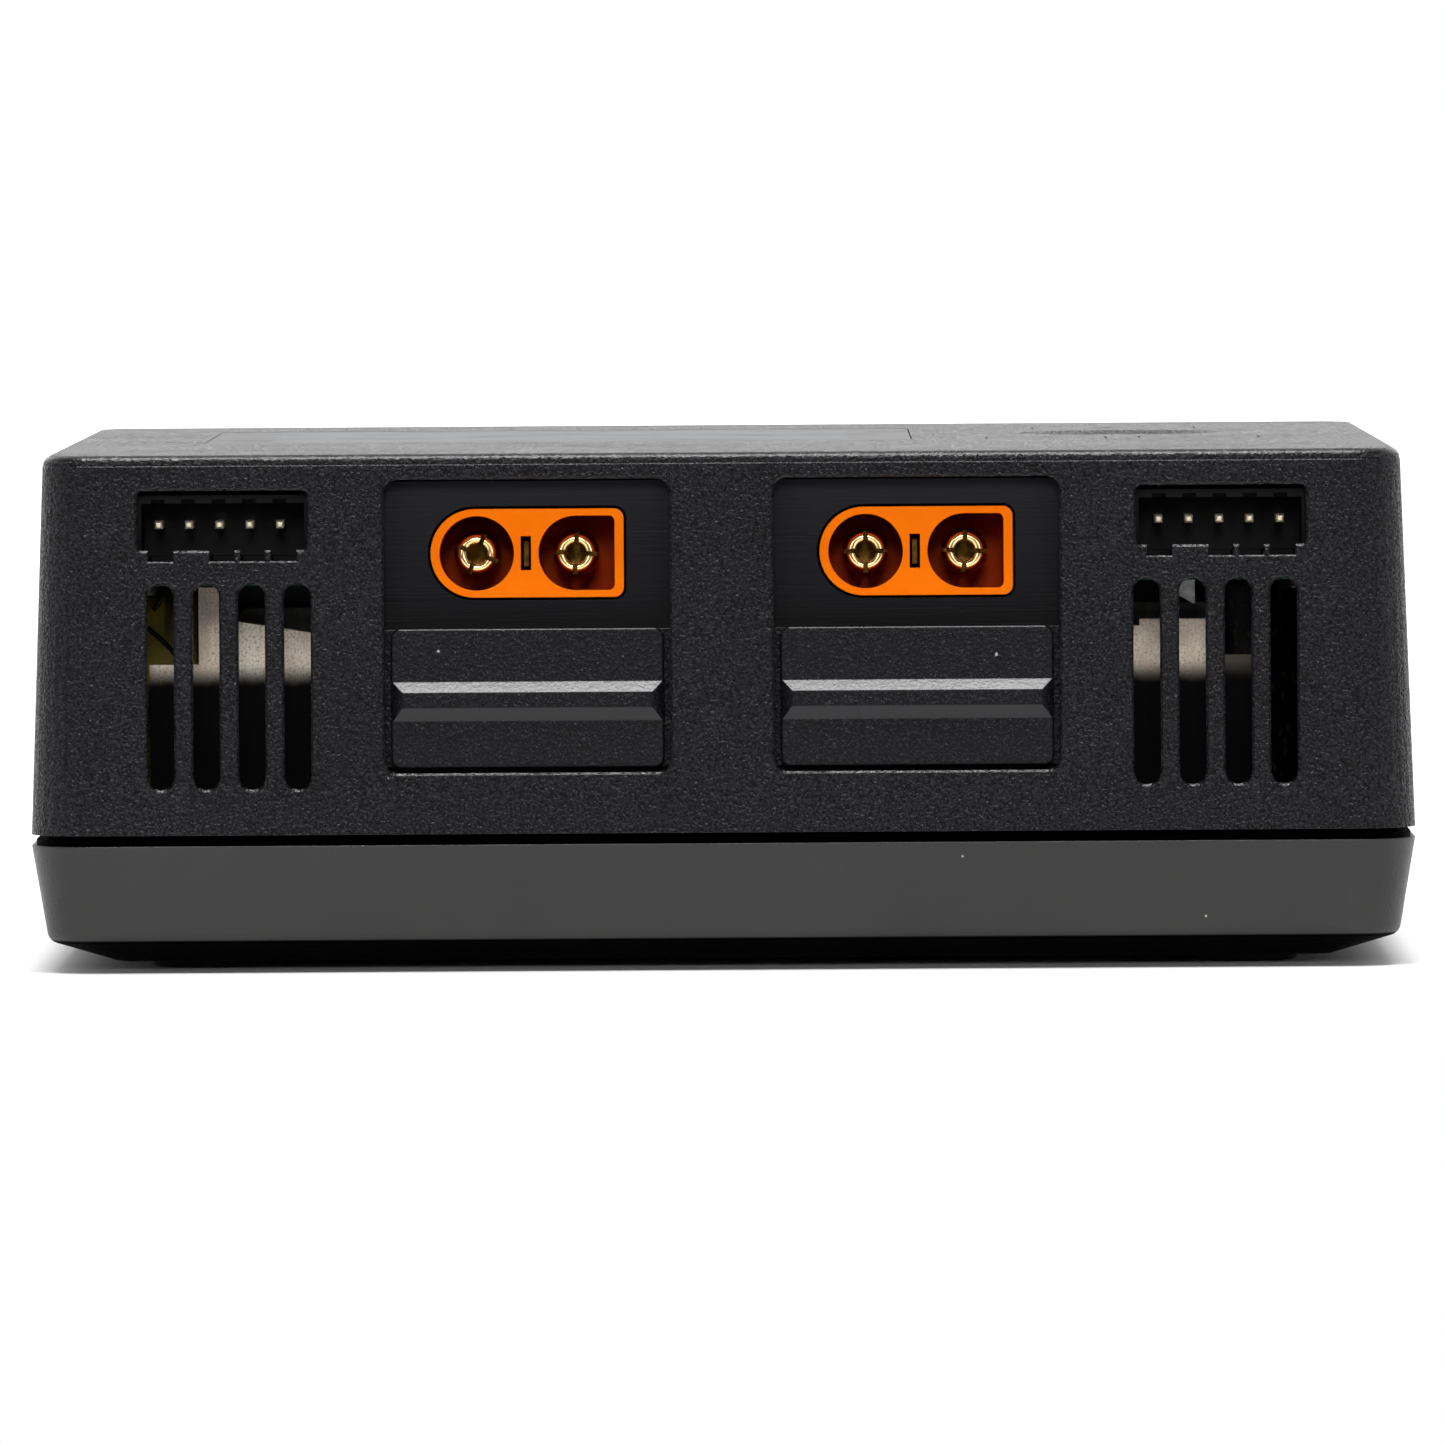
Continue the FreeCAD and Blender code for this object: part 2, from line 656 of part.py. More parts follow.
# ---- balance headers -----------------------------------------------------------------------
def balance_header(shift):
    """A shrouded header: open towards the wall, with keying notches in its lower side."""
    half = HEADER_WIDTH / 2
    back = HEADER_FACE_Y + HEADER_DEPTH
    body = block(-half, half, HEADER_FACE_Y, back, HEADER_LOW_Z, HEADER_HIGH_Z)
    cuts = [block(-half + 0.75, half - 0.75, HEADER_FACE_Y - 1, back - 1.2, 34.15, 38.6)]
    for x0, x1 in HEADER_NOTCHES:
        cuts.append(block(x0, x1, HEADER_FACE_Y - 1, HEADER_FACE_Y + 4.5, HEADER_LOW_Z - 1, 34.2))
    for i in range(HEADER_PINS):
        x = (i - 2) * HEADER_PITCH + shift
        half_pin = PIN_SIZE / 2 + 0.02
        hole = block(-half_pin, half_pin, back - 2, back + 1, PIN_Z - half_pin, PIN_Z + half_pin)
        cuts.append(at(hole, x, 0, 0))
        cuts.append(block(x - 0.55, x + 0.55, HEADER_FACE_Y - 1, HEADER_FACE_Y + 2.0, 38.5, 38.95))
    return body.cut(cuts)


def balance_pins():
    """Square pins, bent down to the control board behind the header."""
    half = PIN_SIZE / 2
    tip = HEADER_FACE_Y + 1.3
    bend = HEADER_FACE_Y + HEADER_DEPTH + 0.8
    pins = []
    for i in range(HEADER_PINS):
        x = (i - 2) * HEADER_PITCH
        pin = block(x - half, x + half, tip, bend + PIN_SIZE, PIN_Z - half, PIN_Z + half)
        tip_edges = [e for e in pin.Edges if abs(e.BoundBox.YMax - tip) < 1e-4]
        pin = pin.makeChamfer(0.15, tip_edges)
        leg = block(x - half, x + half, bend, bend + PIN_SIZE, CONTROL_TOP, PIN_Z)
        pins.append(pin.fuse(leg))
    return group(pins)


# ---- boards --------------------------------------------------------------------------------
def control_board():
    """The upper board. Two arms reach forward under the balance headers, past the port board."""
    steps = [
        (-50.5, -51.4),
        (-31.0, -51.4),
        (-31.0, -33.6),
        (31.0, -33.6),
        (31.0, -51.4),
        (50.5, -51.4),
        (50.5, 40.8),
        (8.0, 40.8),
        (8.0, 50.6),
        (-50.5, 50.6),
        (-50.5, -51.4),
    ]
    board = prism(closed_wire(steps, CONTROL_Z), BOARD)
    cuts = [block(WHEEL_X - 6.6, WHEEL_X + 6.6, WHEEL_Y - 8, WHEEL_Y + 8, 30, 35)]
    cuts += [disc(BOSS_R + 0.4, x, y, 30, 35) for x, y in CASE_SCREWS]
    cuts += [disc(1.1, x, y, 30, 35) for x, y in CONTROL_SCREWS]
    return board.cut(cuts)


def control_chips():
    """The processor, charge controllers and the display's driver."""
    places = [
        (-20, -18, 12, 12, 1.3),
        (0, -20, 8, 8, 1.1),
        (-38, -22, 9, 7, 1.4),
        (38, -26, 8, 7, 1.4),
        (-30, 8, 14, 10, 1.2),
        (-8, 12, 7, 7, 1.0),
        (8, 36, 5, 6, 1.3),
    ]
    chips = []
    for x, y, w, d, h in places:
        chips.append(block(x - w / 2, x + w / 2, y - d / 2, y + d / 2, CONTROL_TOP, CONTROL_TOP + h))
    return group(chips)


def buzzer():
    can = disc(4.5, 12.0, -24.0, CONTROL_TOP, CONTROL_TOP + 4.2)
    return can.cut(disc(0.8, 12.0, -24.0, CONTROL_TOP + 3.2, CONTROL_TOP + 5))


def power_board():
    board = prism(rounded_wire(100.0, 93.0, 2.0, POWER_Z), BOARD)
    cuts = [disc(POST_R + 0.3, x, y, 4, 8) for x, y in CASE_SCREWS]
    cuts += [disc(1.1, x, y, 4, 8) for x, y in POWER_SCREWS]
    return board.cut(cuts)


def insulator_sheet():
    sheet = prism(rounded_wire(94.0, 88.0, 2.0, FLOOR_Z + 0.05), 0.3)
    cuts = [disc(POST_R + 0.3, x, y, 2, 5) for x, y in CASE_SCREWS]
    cuts += [disc(2.9, x, y, 2, 5) for x, y in POWER_SCREWS]
    return sheet.cut(cuts)


def case_screws():
    one = screw(1.5, 20.0, 2.7, 2.2)
    return group([at(one, x, y, 3.6) for x, y in CASE_SCREWS])


def control_board_screws():
    one = screw(1.0, 6.0, 1.9, 1.3)
    return group([at(one, x, y, CONTROL_Z) for x, y in CONTROL_SCREWS])


def power_board_screws():
    one = screw(1.0, 3.2, 1.9, 1.3)
    one.rotate(ORIGIN, X_AXIS, 180)
    return group([at(one, x, y, POWER_TOP) for x, y in POWER_SCREWS])


# ---- power parts ---------------------------------------------------------------------------
def fin_plate(steps):
    """An aluminium plate on edge behind a front vent, from its outline in X and Z."""
    plate = stand_up(prism(closed_wire(steps, 0.0), -PLATE_GAUGE))
    plate.translate(V(0, PLATE_Y, 0))
    return plate


def heat_sink_left():
    """Its top steps down round the transformer, and a tab stands up beside it."""
    foot = POWER_TOP
    steps = [
        (-47.6, foot),
        (-31.0, foot),
        (-31.0, 27.0),
        (-40.6, 28.5),
        (-40.6, 31.3),
        (-43.5, 31.3),
        (-43.5, 24.9),
        (-47.6, 24.9),
        (-47.6, foot),
    ]
    return fin_plate(steps)


def heat_sink_right():
    foot = POWER_TOP
    steps = [
        (31.0, foot),
        (44.0, foot),
        (44.0, 25.2),
        (40.4, 25.2),
        (40.4, 28.2),
        (34.6, 28.2),
        (34.6, 27.65),
        (31.0, 27.65),
        (31.0, foot),
    ]
    return fin_plate(steps)


def power_transistor():
    """A tab-mounted transistor on the back of the right heat sink."""
    x = 33.4
    y = PLATE_Y + PLATE_GAUGE
    tab = block(x - 5, x + 5, y, y + 1.3, 12.0, 27.5).cut(rod(1.8, x, 24.8, y - 1, y + 3))
    body = block(x - 5, x + 5, y + 0.4, y + 4.4, 12.0, 21.5)
    legs = []
    for i in (-1, 0, 1):
        leg_x = x + i * 2.54
        legs.append(block(leg_x - 0.4, leg_x + 0.4, y + 2.2, y + 2.7, POWER_TOP, 12.1))
    return tab.fuse([body] + legs)


def transformer_winding():
    """The taped coil. It passes through the core along X."""
    coil = block(-51.0, -27.5, -31.0, -16.0, 10.8, 30.6)
    along = [e for e in coil.Edges if e.BoundBox.XLength > 20]
    return coil.makeFillet(2.5, along)


def transformer_core():
    core = block(-43.8, -34.2, -35.4, -11.6, POWER_TOP, 31.4)
    return core.cut(block(-52, -26, -31.2, -15.8, 10.6, 30.8))


def bulk_capacitor():
    can = disc(9.0, 6.0, -14.0, POWER_TOP, 30.0)
    top = edges_at(can, 30.0)
    can = can.makeFillet(1.2, top)
    vents = [block(6.0 - 6, 6.0 + 6, -14.15, -13.85, 29.8, 31), block(5.85, 6.15, -20, -8, 29.8, 31)]
    return can.cut(vents)


def output_capacitors():
    places = [(43.6, -27.2, 6.2, 24.6), (22, 4, 4, 13), (31, 4, 4, 13), (22, 14, 4, 13), (31, 14, 4, 13)]
    places += [(40, 8, 4, 13)]
    cans = []
    for x, y, r, height in places:
        can = disc(r, x, y, POWER_TOP, POWER_TOP + height)
        cans.append(can.makeFillet(0.7, edges_at(can, POWER_TOP + height)))
    return group(cans)


def output_inductors():
    """Shielded drums, one for each output channel and one for the fan supply."""
    parts = []
    for x, y, size, height in ((24, -13, 13, 10), (40, -8, 13, 10), (20, 27, 8, 6)):
        body = prism(rounded_wire(size, size, 1.5, POWER_TOP, x, y), height)
        parts.append(body.cut(disc(size * 0.3, x, y, POWER_TOP + height - 0.8, POWER_TOP + height + 1)))
    return group(parts)


def filter_choke():
    """A toroid on edge, with its winding as a thicker band."""
    ring_body = Part.makeTorus(7.0, 3.2, V(-30.0, 4.0, POWER_TOP + 10.4), X_AXIS)
    base = block(-33.5, -26.5, -3.0, 11.0, POWER_TOP, POWER_TOP + 1.2)
    return ring_body.fuse(base)


def filter_capacitor():
    box_body = block(-49.0, -41.0, -5.0, 13.0, POWER_TOP, POWER_TOP + 14.0)
    return box_body.makeFillet(0.6, box_body.Edges)


def bridge_rectifier():
    body = block(-14.0, 1.0, 18.0, 21.6, POWER_TOP + 3.0, POWER_TOP + 17.0)
    legs = []
    for x in (-12.4, -8.6, -4.8, -0.9):
        legs.append(block(x - 0.5, x + 0.5, 19.4, 20.1, POWER_TOP, POWER_TOP + 3.1))
    return body.fuse(legs)


def power_links():
    """Tinned posts that carry the charge current from the lower board to the upper one."""
    places = [(-14, -29), (-10, -29), (10, -29), (14, -29), (-4, 34), (0, 34)]
    return group([disc(1.3, x, y, POWER_TOP, CONTROL_Z) for x, y in places])


# ---- top panel -----------------------------------------------------------------------------
def display_lens():
    width, depth, radius = LENS_SIZE
    low = TOP_Z - LENS_SINK - LENS_THICKNESS
    lens = prism(rounded_wire(width, depth, radius - 0.1, low), LENS_THICKNESS)
    lens = lens.makeChamfer(0.05, edges_at(lens, low + LENS_THICKNESS))
    return at(lens, DISPLAY_X, DISPLAY_Y, 0)


def lcd_module():
    """A metal-framed panel on four short legs that stand on the control board."""
    panel = block(-28.0, 28.0, -21.0, 21.0, 38.3, 40.5)
    panel = panel.cut(block(-24.5, 24.5, -18.4, 18.4, 40.35, 41))
    legs = [block(x - 1, x + 1, y - 1, y + 1, CONTROL_TOP, 38.4) for x in (-25, 25) for y in (-19, 19)]
    return at(panel.fuse(legs), DISPLAY_X, DISPLAY_Y, 0)


def panel_button(x, y, wide, deep, mark):
    """A flush cap with a retaining flange under the top, and a stem towards its switch."""
    top = TOP_Z - BUTTON_SINK
    cap = prism(rounded_wire(wide, deep, 1.2, 39.4), top - 39.4)
    cap = cap.makeFillet(0.1, edges_at(cap, top))
    flange = prism(rounded_wire(wide + 1.8, deep + 1.8, 1.6, 39.3), 1.0)
    stem = disc(1.5, 0, 0, 37.9, 39.4)
    cap = cap.fuse([flange, stem])
    for dx, dy in mark:
        cap = cap.cut(disc(0.55, dx, dy, top - 0.25, top + 1))
    return at(cap, x, y, 0)


BUTTON_MARKS = {
    "channel_1_button": [(0.0, 0.0)],
    "channel_2_button": [(-1.3, 0.0), (1.3, 0.0)],
    "back_button": [(-1.6, 0.0), (-0.5, 0.9), (-0.5, -0.9)],
}


def button_switches():
    """The tact switches under the three caps."""
    switches = []
    for x, y, _wide, _deep in BUTTONS.values():
        body = block(x - 3, x + 3, y - 3, y + 3, CONTROL_TOP, CONTROL_TOP + 3.4)
        switches.append(body.fuse(disc(1.75, x, y, CONTROL_TOP + 3.3, CONTROL_TOP + 4.0)))
    return group(switches)


def scroll_wheel():
    """A ribbed thumb wheel on its own axle."""
    half = WHEEL_WIDTH / 2
    wheel = Part.makeCylinder(WHEEL_R, WHEEL_WIDTH, V(-half, 0, 0), X_AXIS)
    rim = [e for e in wheel.Edges if e.BoundBox.XLength < 1e-4 and e.BoundBox.YLength > WHEEL_R]
    wheel = wheel.makeFillet(0.6, rim)
    grooves = []
    count = 28
    for i in range(count):
        groove = Part.makeCylinder(0.32, WHEEL_WIDTH - 1.6, V(-half + 0.8, 0, WHEEL_R + 0.05), X_AXIS)
        groove.rotate(ORIGIN, X_AXIS, 360.0 * i / count)
        grooves.append(groove)
    wheel = wheel.cut(grooves)
    axle = Part.makeCylinder(AXLE_R, WHEEL_WIDTH + 3.4, V(-half - 1.7, 0, 0), X_AXIS)
    return at(wheel.fuse(axle), WHEEL_X, WHEEL_Y, WHEEL_Z)


def wheel_carrier():
    """The yoke that the wheel turns in. Pressing the wheel pushes the whole yoke down."""
    floor_z = 28.4
    inner = WHEEL_WIDTH / 2 + 0.4
    outer = inner + 1.3
    yoke = block(-outer, outer, -4.5, 4.5, floor_z, floor_z + 1.2)
    for side in (-1, 1):
        x0, x1 = sorted((side * inner, side * outer))
        yoke = yoke.fuse(block(x0, x1, -3.0, 3.0, floor_z, WHEEL_Z + 2.2))
    bore = Part.makeCylinder(AXLE_R + 0.05, 20, V(-10, 0, WHEEL_Z), X_AXIS)
    return at(yoke.cut(bore), WHEEL_X, WHEEL_Y, 0)


def encoder_base():
    """Hangs under the control board and holds the switch that the yoke presses."""
    half_x = 7.4
    half_y = 9.2
    base = block(-half_x, half_x, -half_y, half_y, 25.6, CONTROL_Z)
    base = base.cut(block(-half_x + 1.2, half_x - 1.2, -half_y + 1.2, half_y - 1.2, 26.6, 40))
    return at(base.fuse(disc(1.6, 0, 0, 26.5, 27.9)), WHEEL_X, WHEEL_Y, 0)


# ---- rear parts ----------------------------------------------------------------------------
def ac_inlet():
    """A two-pin appliance inlet, with its flange behind the wall."""
    body = wall_prism(rounded_wire(20.0, 12.0, 1.8), 0.15, 17.0)
    flange = wall_prism(rounded_wire(25.0, 17.0, 1.2), WALL + 0.05, WALL + 1.6)
    cuts = [wall_prism(stadium_wire(17.4, 9.0), 0.0, INLET_FLOOR)]
    cuts += [rod(INLET_ROOT_R + 0.03, x, 0, 10.0, 20.0) for x in (-INLET_PIN_X, INLET_PIN_X)]
    return on_rear(body.fuse(flange).cut(cuts), INLET_X, INLET_Z)


def ac_inlet_pins():
    pins = []
    for x in (-INLET_PIN_X, INLET_PIN_X):
        pin = rod(INLET_PIN_R, x, 0, 3.6, INLET_FLOOR + 0.5)
        tip = [e for e in pin.Edges if abs(e.BoundBox.YMax - 3.6) < 1e-4]
        root = rod(INLET_ROOT_R, x, 0, INLET_FLOOR, 17.5)
        pins.append(pin.makeFillet(0.7, tip).fuse([root, rod(0.9, x, 0, 17.0, 21.0)]))
    return on_rear(group(pins), INLET_X, INLET_Z)


def usb_socket():
    """A small oblong metal shell with a tongue inside, on the upper board's rear edge."""
    shell = wall_prism(stadium_wire(8.94, 3.26), 0.0, 7.3)
    shell = shell.cut(wall_prism(stadium_wire(8.34, 2.66), -1.0, 6.3))
    tongue = wall_prism(rounded_wire(6.6, 0.7, 0.3), 1.0, 6.4)
    placed = shell.fuse(tongue)
    placed.rotate(ORIGIN, Z_AXIS, 180)
    placed.translate(V(USB_X, 52.0, USB_Z))
    return placed


def fan_frame():
    half = FAN_SIZE / 2
    y0 = FAN_FRONT_Y
    y1 = y0 + FAN_THICKNESS
    frame = wall_prism(rounded_wire(FAN_SIZE, FAN_SIZE, 2.5), y0, y1)
    frame = frame.cut(rod(FAN_BORE, 0, 0, y0 - 1, y1 + 1))
    relief = wall_prism(rounded_wire(FAN_SIZE + 2, FAN_SIZE + 2, 2.0), y0 + 2.6, y1 - 2.6)
    keep = rod(half + 0.6, 0, 0, y0, y1)
    frame = frame.cut(relief.cut(keep))
    hub = rod(7.0, 0, 0, y1 - 2.4, y1)
    struts = [block(6.0, FAN_BORE + 0.5, y1 - 2.2, y1, -0.9, 0.9)]
    struts[0].rotate(V(0, 0, 0), Y_AXIS, 45)
    for i in range(1, 4):
        arm = struts[0].copy()
        arm.rotate(ORIGIN, Y_AXIS, 90 * i)
        struts.append(arm)
    frame = frame.fuse([hub] + struts)
    cuts = [rod(1.06, 0, 0, y1 - 3.0, y1 + 1)]
    for x in (-FAN_HOLES, FAN_HOLES):
        cuts += [rod(1.6, x, z, y0 - 1, y1 + 1) for z in (-FAN_HOLES, FAN_HOLES)]
    return at(frame.cut(cuts), FAN_X, 0, FAN_Z)


def fan_rotor():
    """A cup hub with seven pitched blades, on the shaft that runs in the frame's hub."""
    y0 = FAN_FRONT_Y + 0.5
    y1 = FAN_FRONT_Y + FAN_THICKNESS - 2.8
    hub = rod(7.2, 0, 0, y0, y1)
    front = [e for e in hub.Edges if abs(e.BoundBox.YMax - y0) < 1e-4]
    hub = hub.makeFillet(0.6, front)
    parts = [rod(1.0, 0, 0, y1 - 0.5, y1 + 2.4)]
    count = 7
    for i in range(count):
        blade = block(-0.45, 0.45, -2.9, 2.9, 6.9, 13.2)
        blade.rotate(ORIGIN, Z_AXIS, 42)
        blade.translate(V(0, (y0 + y1) / 2, 0))
        blade = blade.common(rod(13.3, 0, 0, y0, y1))
        blade.rotate(ORIGIN, Y_AXIS, 360.0 * i / count)
        parts.append(blade)
    return at(hub.fuse(parts), FAN_X, 0, FAN_Z)


def fan_screws():
    one = screw(1.2, 10.1, 2.3, 1.6)
    one.rotate(ORIGIN, X_AXIS, -90)
    places = [(x, z) for x in (-FAN_HOLES, FAN_HOLES) for z in (-FAN_HOLES, FAN_HOLES)]
    return group([at(one, FAN_X + x, FAN_FRONT_Y, FAN_Z + z) for x, z in places])


# ---- the whole charger ---------------------------------------------------------------------
def bay_parts():
    """Each bay's pieces, placed on the front wall."""
    parts = {}
    plate = port_plate()
    door = port_door()
    small = output_socket(SMALL_SOCKET)
    large = output_socket(LARGE_SOCKET)
    turns = {"left": (22, 3), "right": (0, 2)}
    for name, side in (("left", -1), ("right", 1)):
        x = side * BAY_X
        small_contacts = socket_contacts(SMALL_SOCKET, turns[name])
        large_contacts = socket_contacts(LARGE_SOCKET, turns[name])
        parts["port_plate_" + name] = on_front(plate, x, BAY_Z)
        parts["port_door_" + name] = on_front(door, x, BAY_Z)
        parts["small_socket_" + name] = on_front(at(small, 0, 0, SMALL_V), x, BAY_Z)
        parts["small_contacts_" + name] = on_front(at(small_contacts, 0, 0, SMALL_V), x, BAY_Z)
        parts["large_socket_" + name] = on_front(at(large, 0, 0, LARGE_V), x, BAY_Z)
        parts["large_contacts_" + name] = on_front(at(large_contacts, 0, 0, LARGE_V), x, BAY_Z)
        shift = HEADER_PIN_SHIFT[side]
        parts["balance_header_" + name] = at(balance_header(shift), side * HEADER_X, 0, 0)
        parts["balance_pins_" + name] = at(balance_pins(), side * HEADER_X + shift, 0, 0)
    return parts


def charger():
    makers = [
        upper_shell,
        lower_shell,
        rubber_feet,
        rating_label,
        case_screws,
        port_board,
        port_plate_screws,
        control_board,
        control_board_screws,
        control_chips,
        buzzer,
        lcd_module,
        display_lens,
        button_switches,
        scroll_wheel,
        wheel_carrier,
        encoder_base,
        power_board,
        power_board_screws,
        insulator_sheet,
        heat_sink_left,
        heat_sink_right,
        power_transistor,
        transformer_core,
        transformer_winding,
        bulk_capacitor,
        output_capacitors,
        output_inductors,
        filter_choke,
        filter_capacitor,
        bridge_rectifier,
        power_links,
        ac_inlet,
        ac_inlet_pins,
        usb_socket,
        fan_frame,
        fan_rotor,
        fan_screws,
    ]
    parts = {maker.__name__: maker() for maker in makers}
    parts.update(bay_parts())
    for name, place in BUTTONS.items():
        parts[name] = panel_button(*place, BUTTON_MARKS[name])
    return parts


def main():
    os.makedirs("parts", exist_ok=True)
    for name, shape in charger().items():
        shape.exportStep("parts/" + name + ".step")
        sound = shape.isValid() and all(solid.Volume > 0 for solid in shape.Solids)
        state = "" if sound else "NOT SOUND"
        print(name, len(shape.Solids), "solids", round(shape.Volume, 1), "mm3", state)


main()
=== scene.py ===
"""Looks for the balance battery charger: its materials, small trim, floor, studio light and camera.

Metres, +Z up, in the row frame. The charger's front, with the output bays, faces -Y.
"""

import json
import math

import bmesh
import bpy
from mathutils import Euler, Matrix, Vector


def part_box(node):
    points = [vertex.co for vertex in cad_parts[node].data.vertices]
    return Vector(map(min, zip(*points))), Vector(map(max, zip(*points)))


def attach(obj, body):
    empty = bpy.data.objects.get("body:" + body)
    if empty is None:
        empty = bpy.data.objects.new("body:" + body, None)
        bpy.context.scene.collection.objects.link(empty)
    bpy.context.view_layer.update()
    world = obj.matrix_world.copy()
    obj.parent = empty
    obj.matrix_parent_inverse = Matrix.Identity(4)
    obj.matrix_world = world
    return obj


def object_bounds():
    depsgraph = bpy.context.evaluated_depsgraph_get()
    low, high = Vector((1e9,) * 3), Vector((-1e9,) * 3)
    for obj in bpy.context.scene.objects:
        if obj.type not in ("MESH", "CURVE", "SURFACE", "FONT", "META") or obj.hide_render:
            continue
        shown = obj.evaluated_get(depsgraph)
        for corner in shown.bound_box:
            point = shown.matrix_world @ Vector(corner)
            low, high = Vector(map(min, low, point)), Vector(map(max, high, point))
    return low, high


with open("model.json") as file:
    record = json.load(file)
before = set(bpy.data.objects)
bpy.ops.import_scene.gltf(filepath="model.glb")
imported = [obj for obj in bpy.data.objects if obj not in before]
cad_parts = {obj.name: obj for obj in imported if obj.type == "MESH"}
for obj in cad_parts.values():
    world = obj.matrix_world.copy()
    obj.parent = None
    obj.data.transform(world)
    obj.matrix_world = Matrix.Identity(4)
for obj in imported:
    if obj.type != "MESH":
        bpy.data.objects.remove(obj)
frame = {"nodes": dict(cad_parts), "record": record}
cad_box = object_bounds()

MM = 0.001
nodes = frame["nodes"]
low, high = cad_box

DUST = (0.42, 0.41, 0.39)
# painted shade: the black put in the seam's groove and on the bevel over the floor
SHADE_BLACK = (0.0012, 0.0012, 0.0012)

# A Mix node's sockets go by number, because their names repeat: the inputs A and B, and the result.
MIX_FACTOR = 0
MIX_NUMBERS = (2, 3)
MIX_NUMBER_RESULT = 0
MIX_COLOURS = (6, 7)
MIX_COLOUR_RESULT = 2


def scaled(colour, factor):
    return tuple(c * factor for c in colour)


# ---- shader building -----------------------------------------------------------------------
class Finish:
    """A material on one Principled shader, with short calls for the nodes that feed it."""

    def __init__(self, name, colour, roughness, metallic=0.0, specular=0.5):
        self.material = bpy.data.materials.new(name)
        self.material.use_nodes = True
        self.tree = self.material.node_tree
        self.shader = self.tree.nodes["Principled BSDF"]
        self.place = self.new("ShaderNodeTexCoord").outputs["Object"]
        self.put("Base Color", (*colour, 1.0))
        self.put("Roughness", roughness)
        self.put("Metallic", metallic)
        self.put("Specular IOR Level", specular)

    def new(self, kind, **settings):
        node = self.tree.nodes.new(kind)
        for key, value in settings.items():
            setattr(node, key, value)
        return node

    def put(self, socket, value):
        self.shader.inputs[socket].default_value = value

    def join(self, source, node, socket):
        self.tree.links.new(source, node.inputs[socket])

    def feed(self, socket, source):
        self.join(source, self.shader, socket)

    def stretched(self, stretch):
        """Object coordinates, with each axis multiplied by its part of stretch."""
        mapping = self.new("ShaderNodeMapping")
        mapping.inputs["Scale"].default_value = stretch
        self.join(self.place, mapping, "Vector")
        return mapping.outputs["Vector"]

    def noise(self, size, detail=2.0, rough=0.5, distortion=0.0, stretch=(1.0, 1.0, 1.0)):
        """Noise whose features are about size across, in metres."""
        node = self.new("ShaderNodeTexNoise")
        node.inputs["Scale"].default_value = 1.0 / size
        node.inputs["Detail"].default_value = detail
        node.inputs["Roughness"].default_value = rough
        node.inputs["Distortion"].default_value = distortion
        self.join(self.stretched(stretch), node, "Vector")
        return node.outputs["Fac"]

    def cells(self, size, feature="F1", output="Distance", stretch=(1.0, 1.0, 1.0)):
        """Voronoi cells about size across, in metres."""
        node = self.new("ShaderNodeTexVoronoi", feature=feature)
        node.inputs["Scale"].default_value = 1.0 / size
        if feature == "SMOOTH_F1":
            node.inputs["Smoothness"].default_value = 0.6
        self.join(self.stretched(stretch), node, "Vector")
        return node.outputs[output]

    def axis(self, name, source=None):
        split = self.new("ShaderNodeSeparateXYZ")
        self.join(source or self.place, split, "Vector")
        return split.outputs[name]

    def maths(self, operation, first, second=None):
        node = self.new("ShaderNodeMath", operation=operation)
        for index, value in enumerate((first, second)):
            if value is None:
                continue
            if isinstance(value, (int, float)):
                node.inputs[index].default_value = value
            else:
                self.join(value, node, index)
        return node.outputs[0]

    def spread(self, source, start, end, to_start=0.0, to_end=1.0, smooth=False):
        """Maps start..end of a value onto to_start..to_end, clamped."""
        node = self.new("ShaderNodeMapRange", clamp=True)
        if smooth:
            node.interpolation_type = "SMOOTHSTEP"
        self.join(source, node, "Value")
        node.inputs["From Min"].default_value = start
        node.inputs["From Max"].default_value = end
        node.inputs["To Min"].default_value = to_start
        node.inputs["To Max"].default_value = to_end
        return node.outputs["Result"]

    def mix(self, factor, first, second):
        """Mixes two colours, each a tuple or a socket."""
        node = self.new("ShaderNodeMix", data_type="RGBA")
        self.join(factor, node, MIX_FACTOR)
        for socket, value in zip(MIX_COLOURS, (first, second)):
            if isinstance(value, tuple):
                node.inputs[socket].default_value = (*value, 1.0)
            else:
                self.join(value, node, socket)
        return node.outputs[MIX_COLOUR_RESULT]

    def bump(self, height, depth, strength=1.0):
        """Adds relief of that depth, in metres, on top of the relief that's already there."""
        node = self.new("ShaderNodeBump")
        node.inputs["Strength"].default_value = strength
        node.inputs["Distance"].default_value = depth
        self.join(height, node, "Height")
        normal = self.shader.inputs["Normal"]
        if normal.is_linked:
            self.join(normal.links[0].from_socket, node, "Normal")
        self.feed("Normal", node.outputs["Normal"])

    def soften_edges(self, radius):
        """Rounds the shading of sharp edges. It goes in before any bump."""
        node = self.new("ShaderNodeBevel", samples=4)
        node.inputs["Radius"].default_value = radius
        self.feed("Normal", node.outputs["Normal"])
        return node.outputs["Normal"]

    def edge_mask(self, rounded):
        """1 along the edges that soften_edges rounds, 0 on flat stretches."""
        flat = self.new("ShaderNodeNewGeometry").outputs["Normal"]
        dot = self.new("ShaderNodeVectorMath", operation="DOT_PRODUCT")
        self.join(rounded, dot, 0)
        self.join(flat, dot, 1)
        return self.spread(dot.outputs["Value"], 0.995, 0.9)

    def vary(self, colour, amount, size):
        """Shifts the colour lighter and darker in soft patches."""
        patches = self.noise(size, detail=3.0, rough=0.6)
        light = tuple(min(1.0, c) for c in scaled(colour, 1.0 + amount))
        return self.mix(self.spread(patches, 0.3, 0.7), scaled(colour, 1.0 - amount), light)

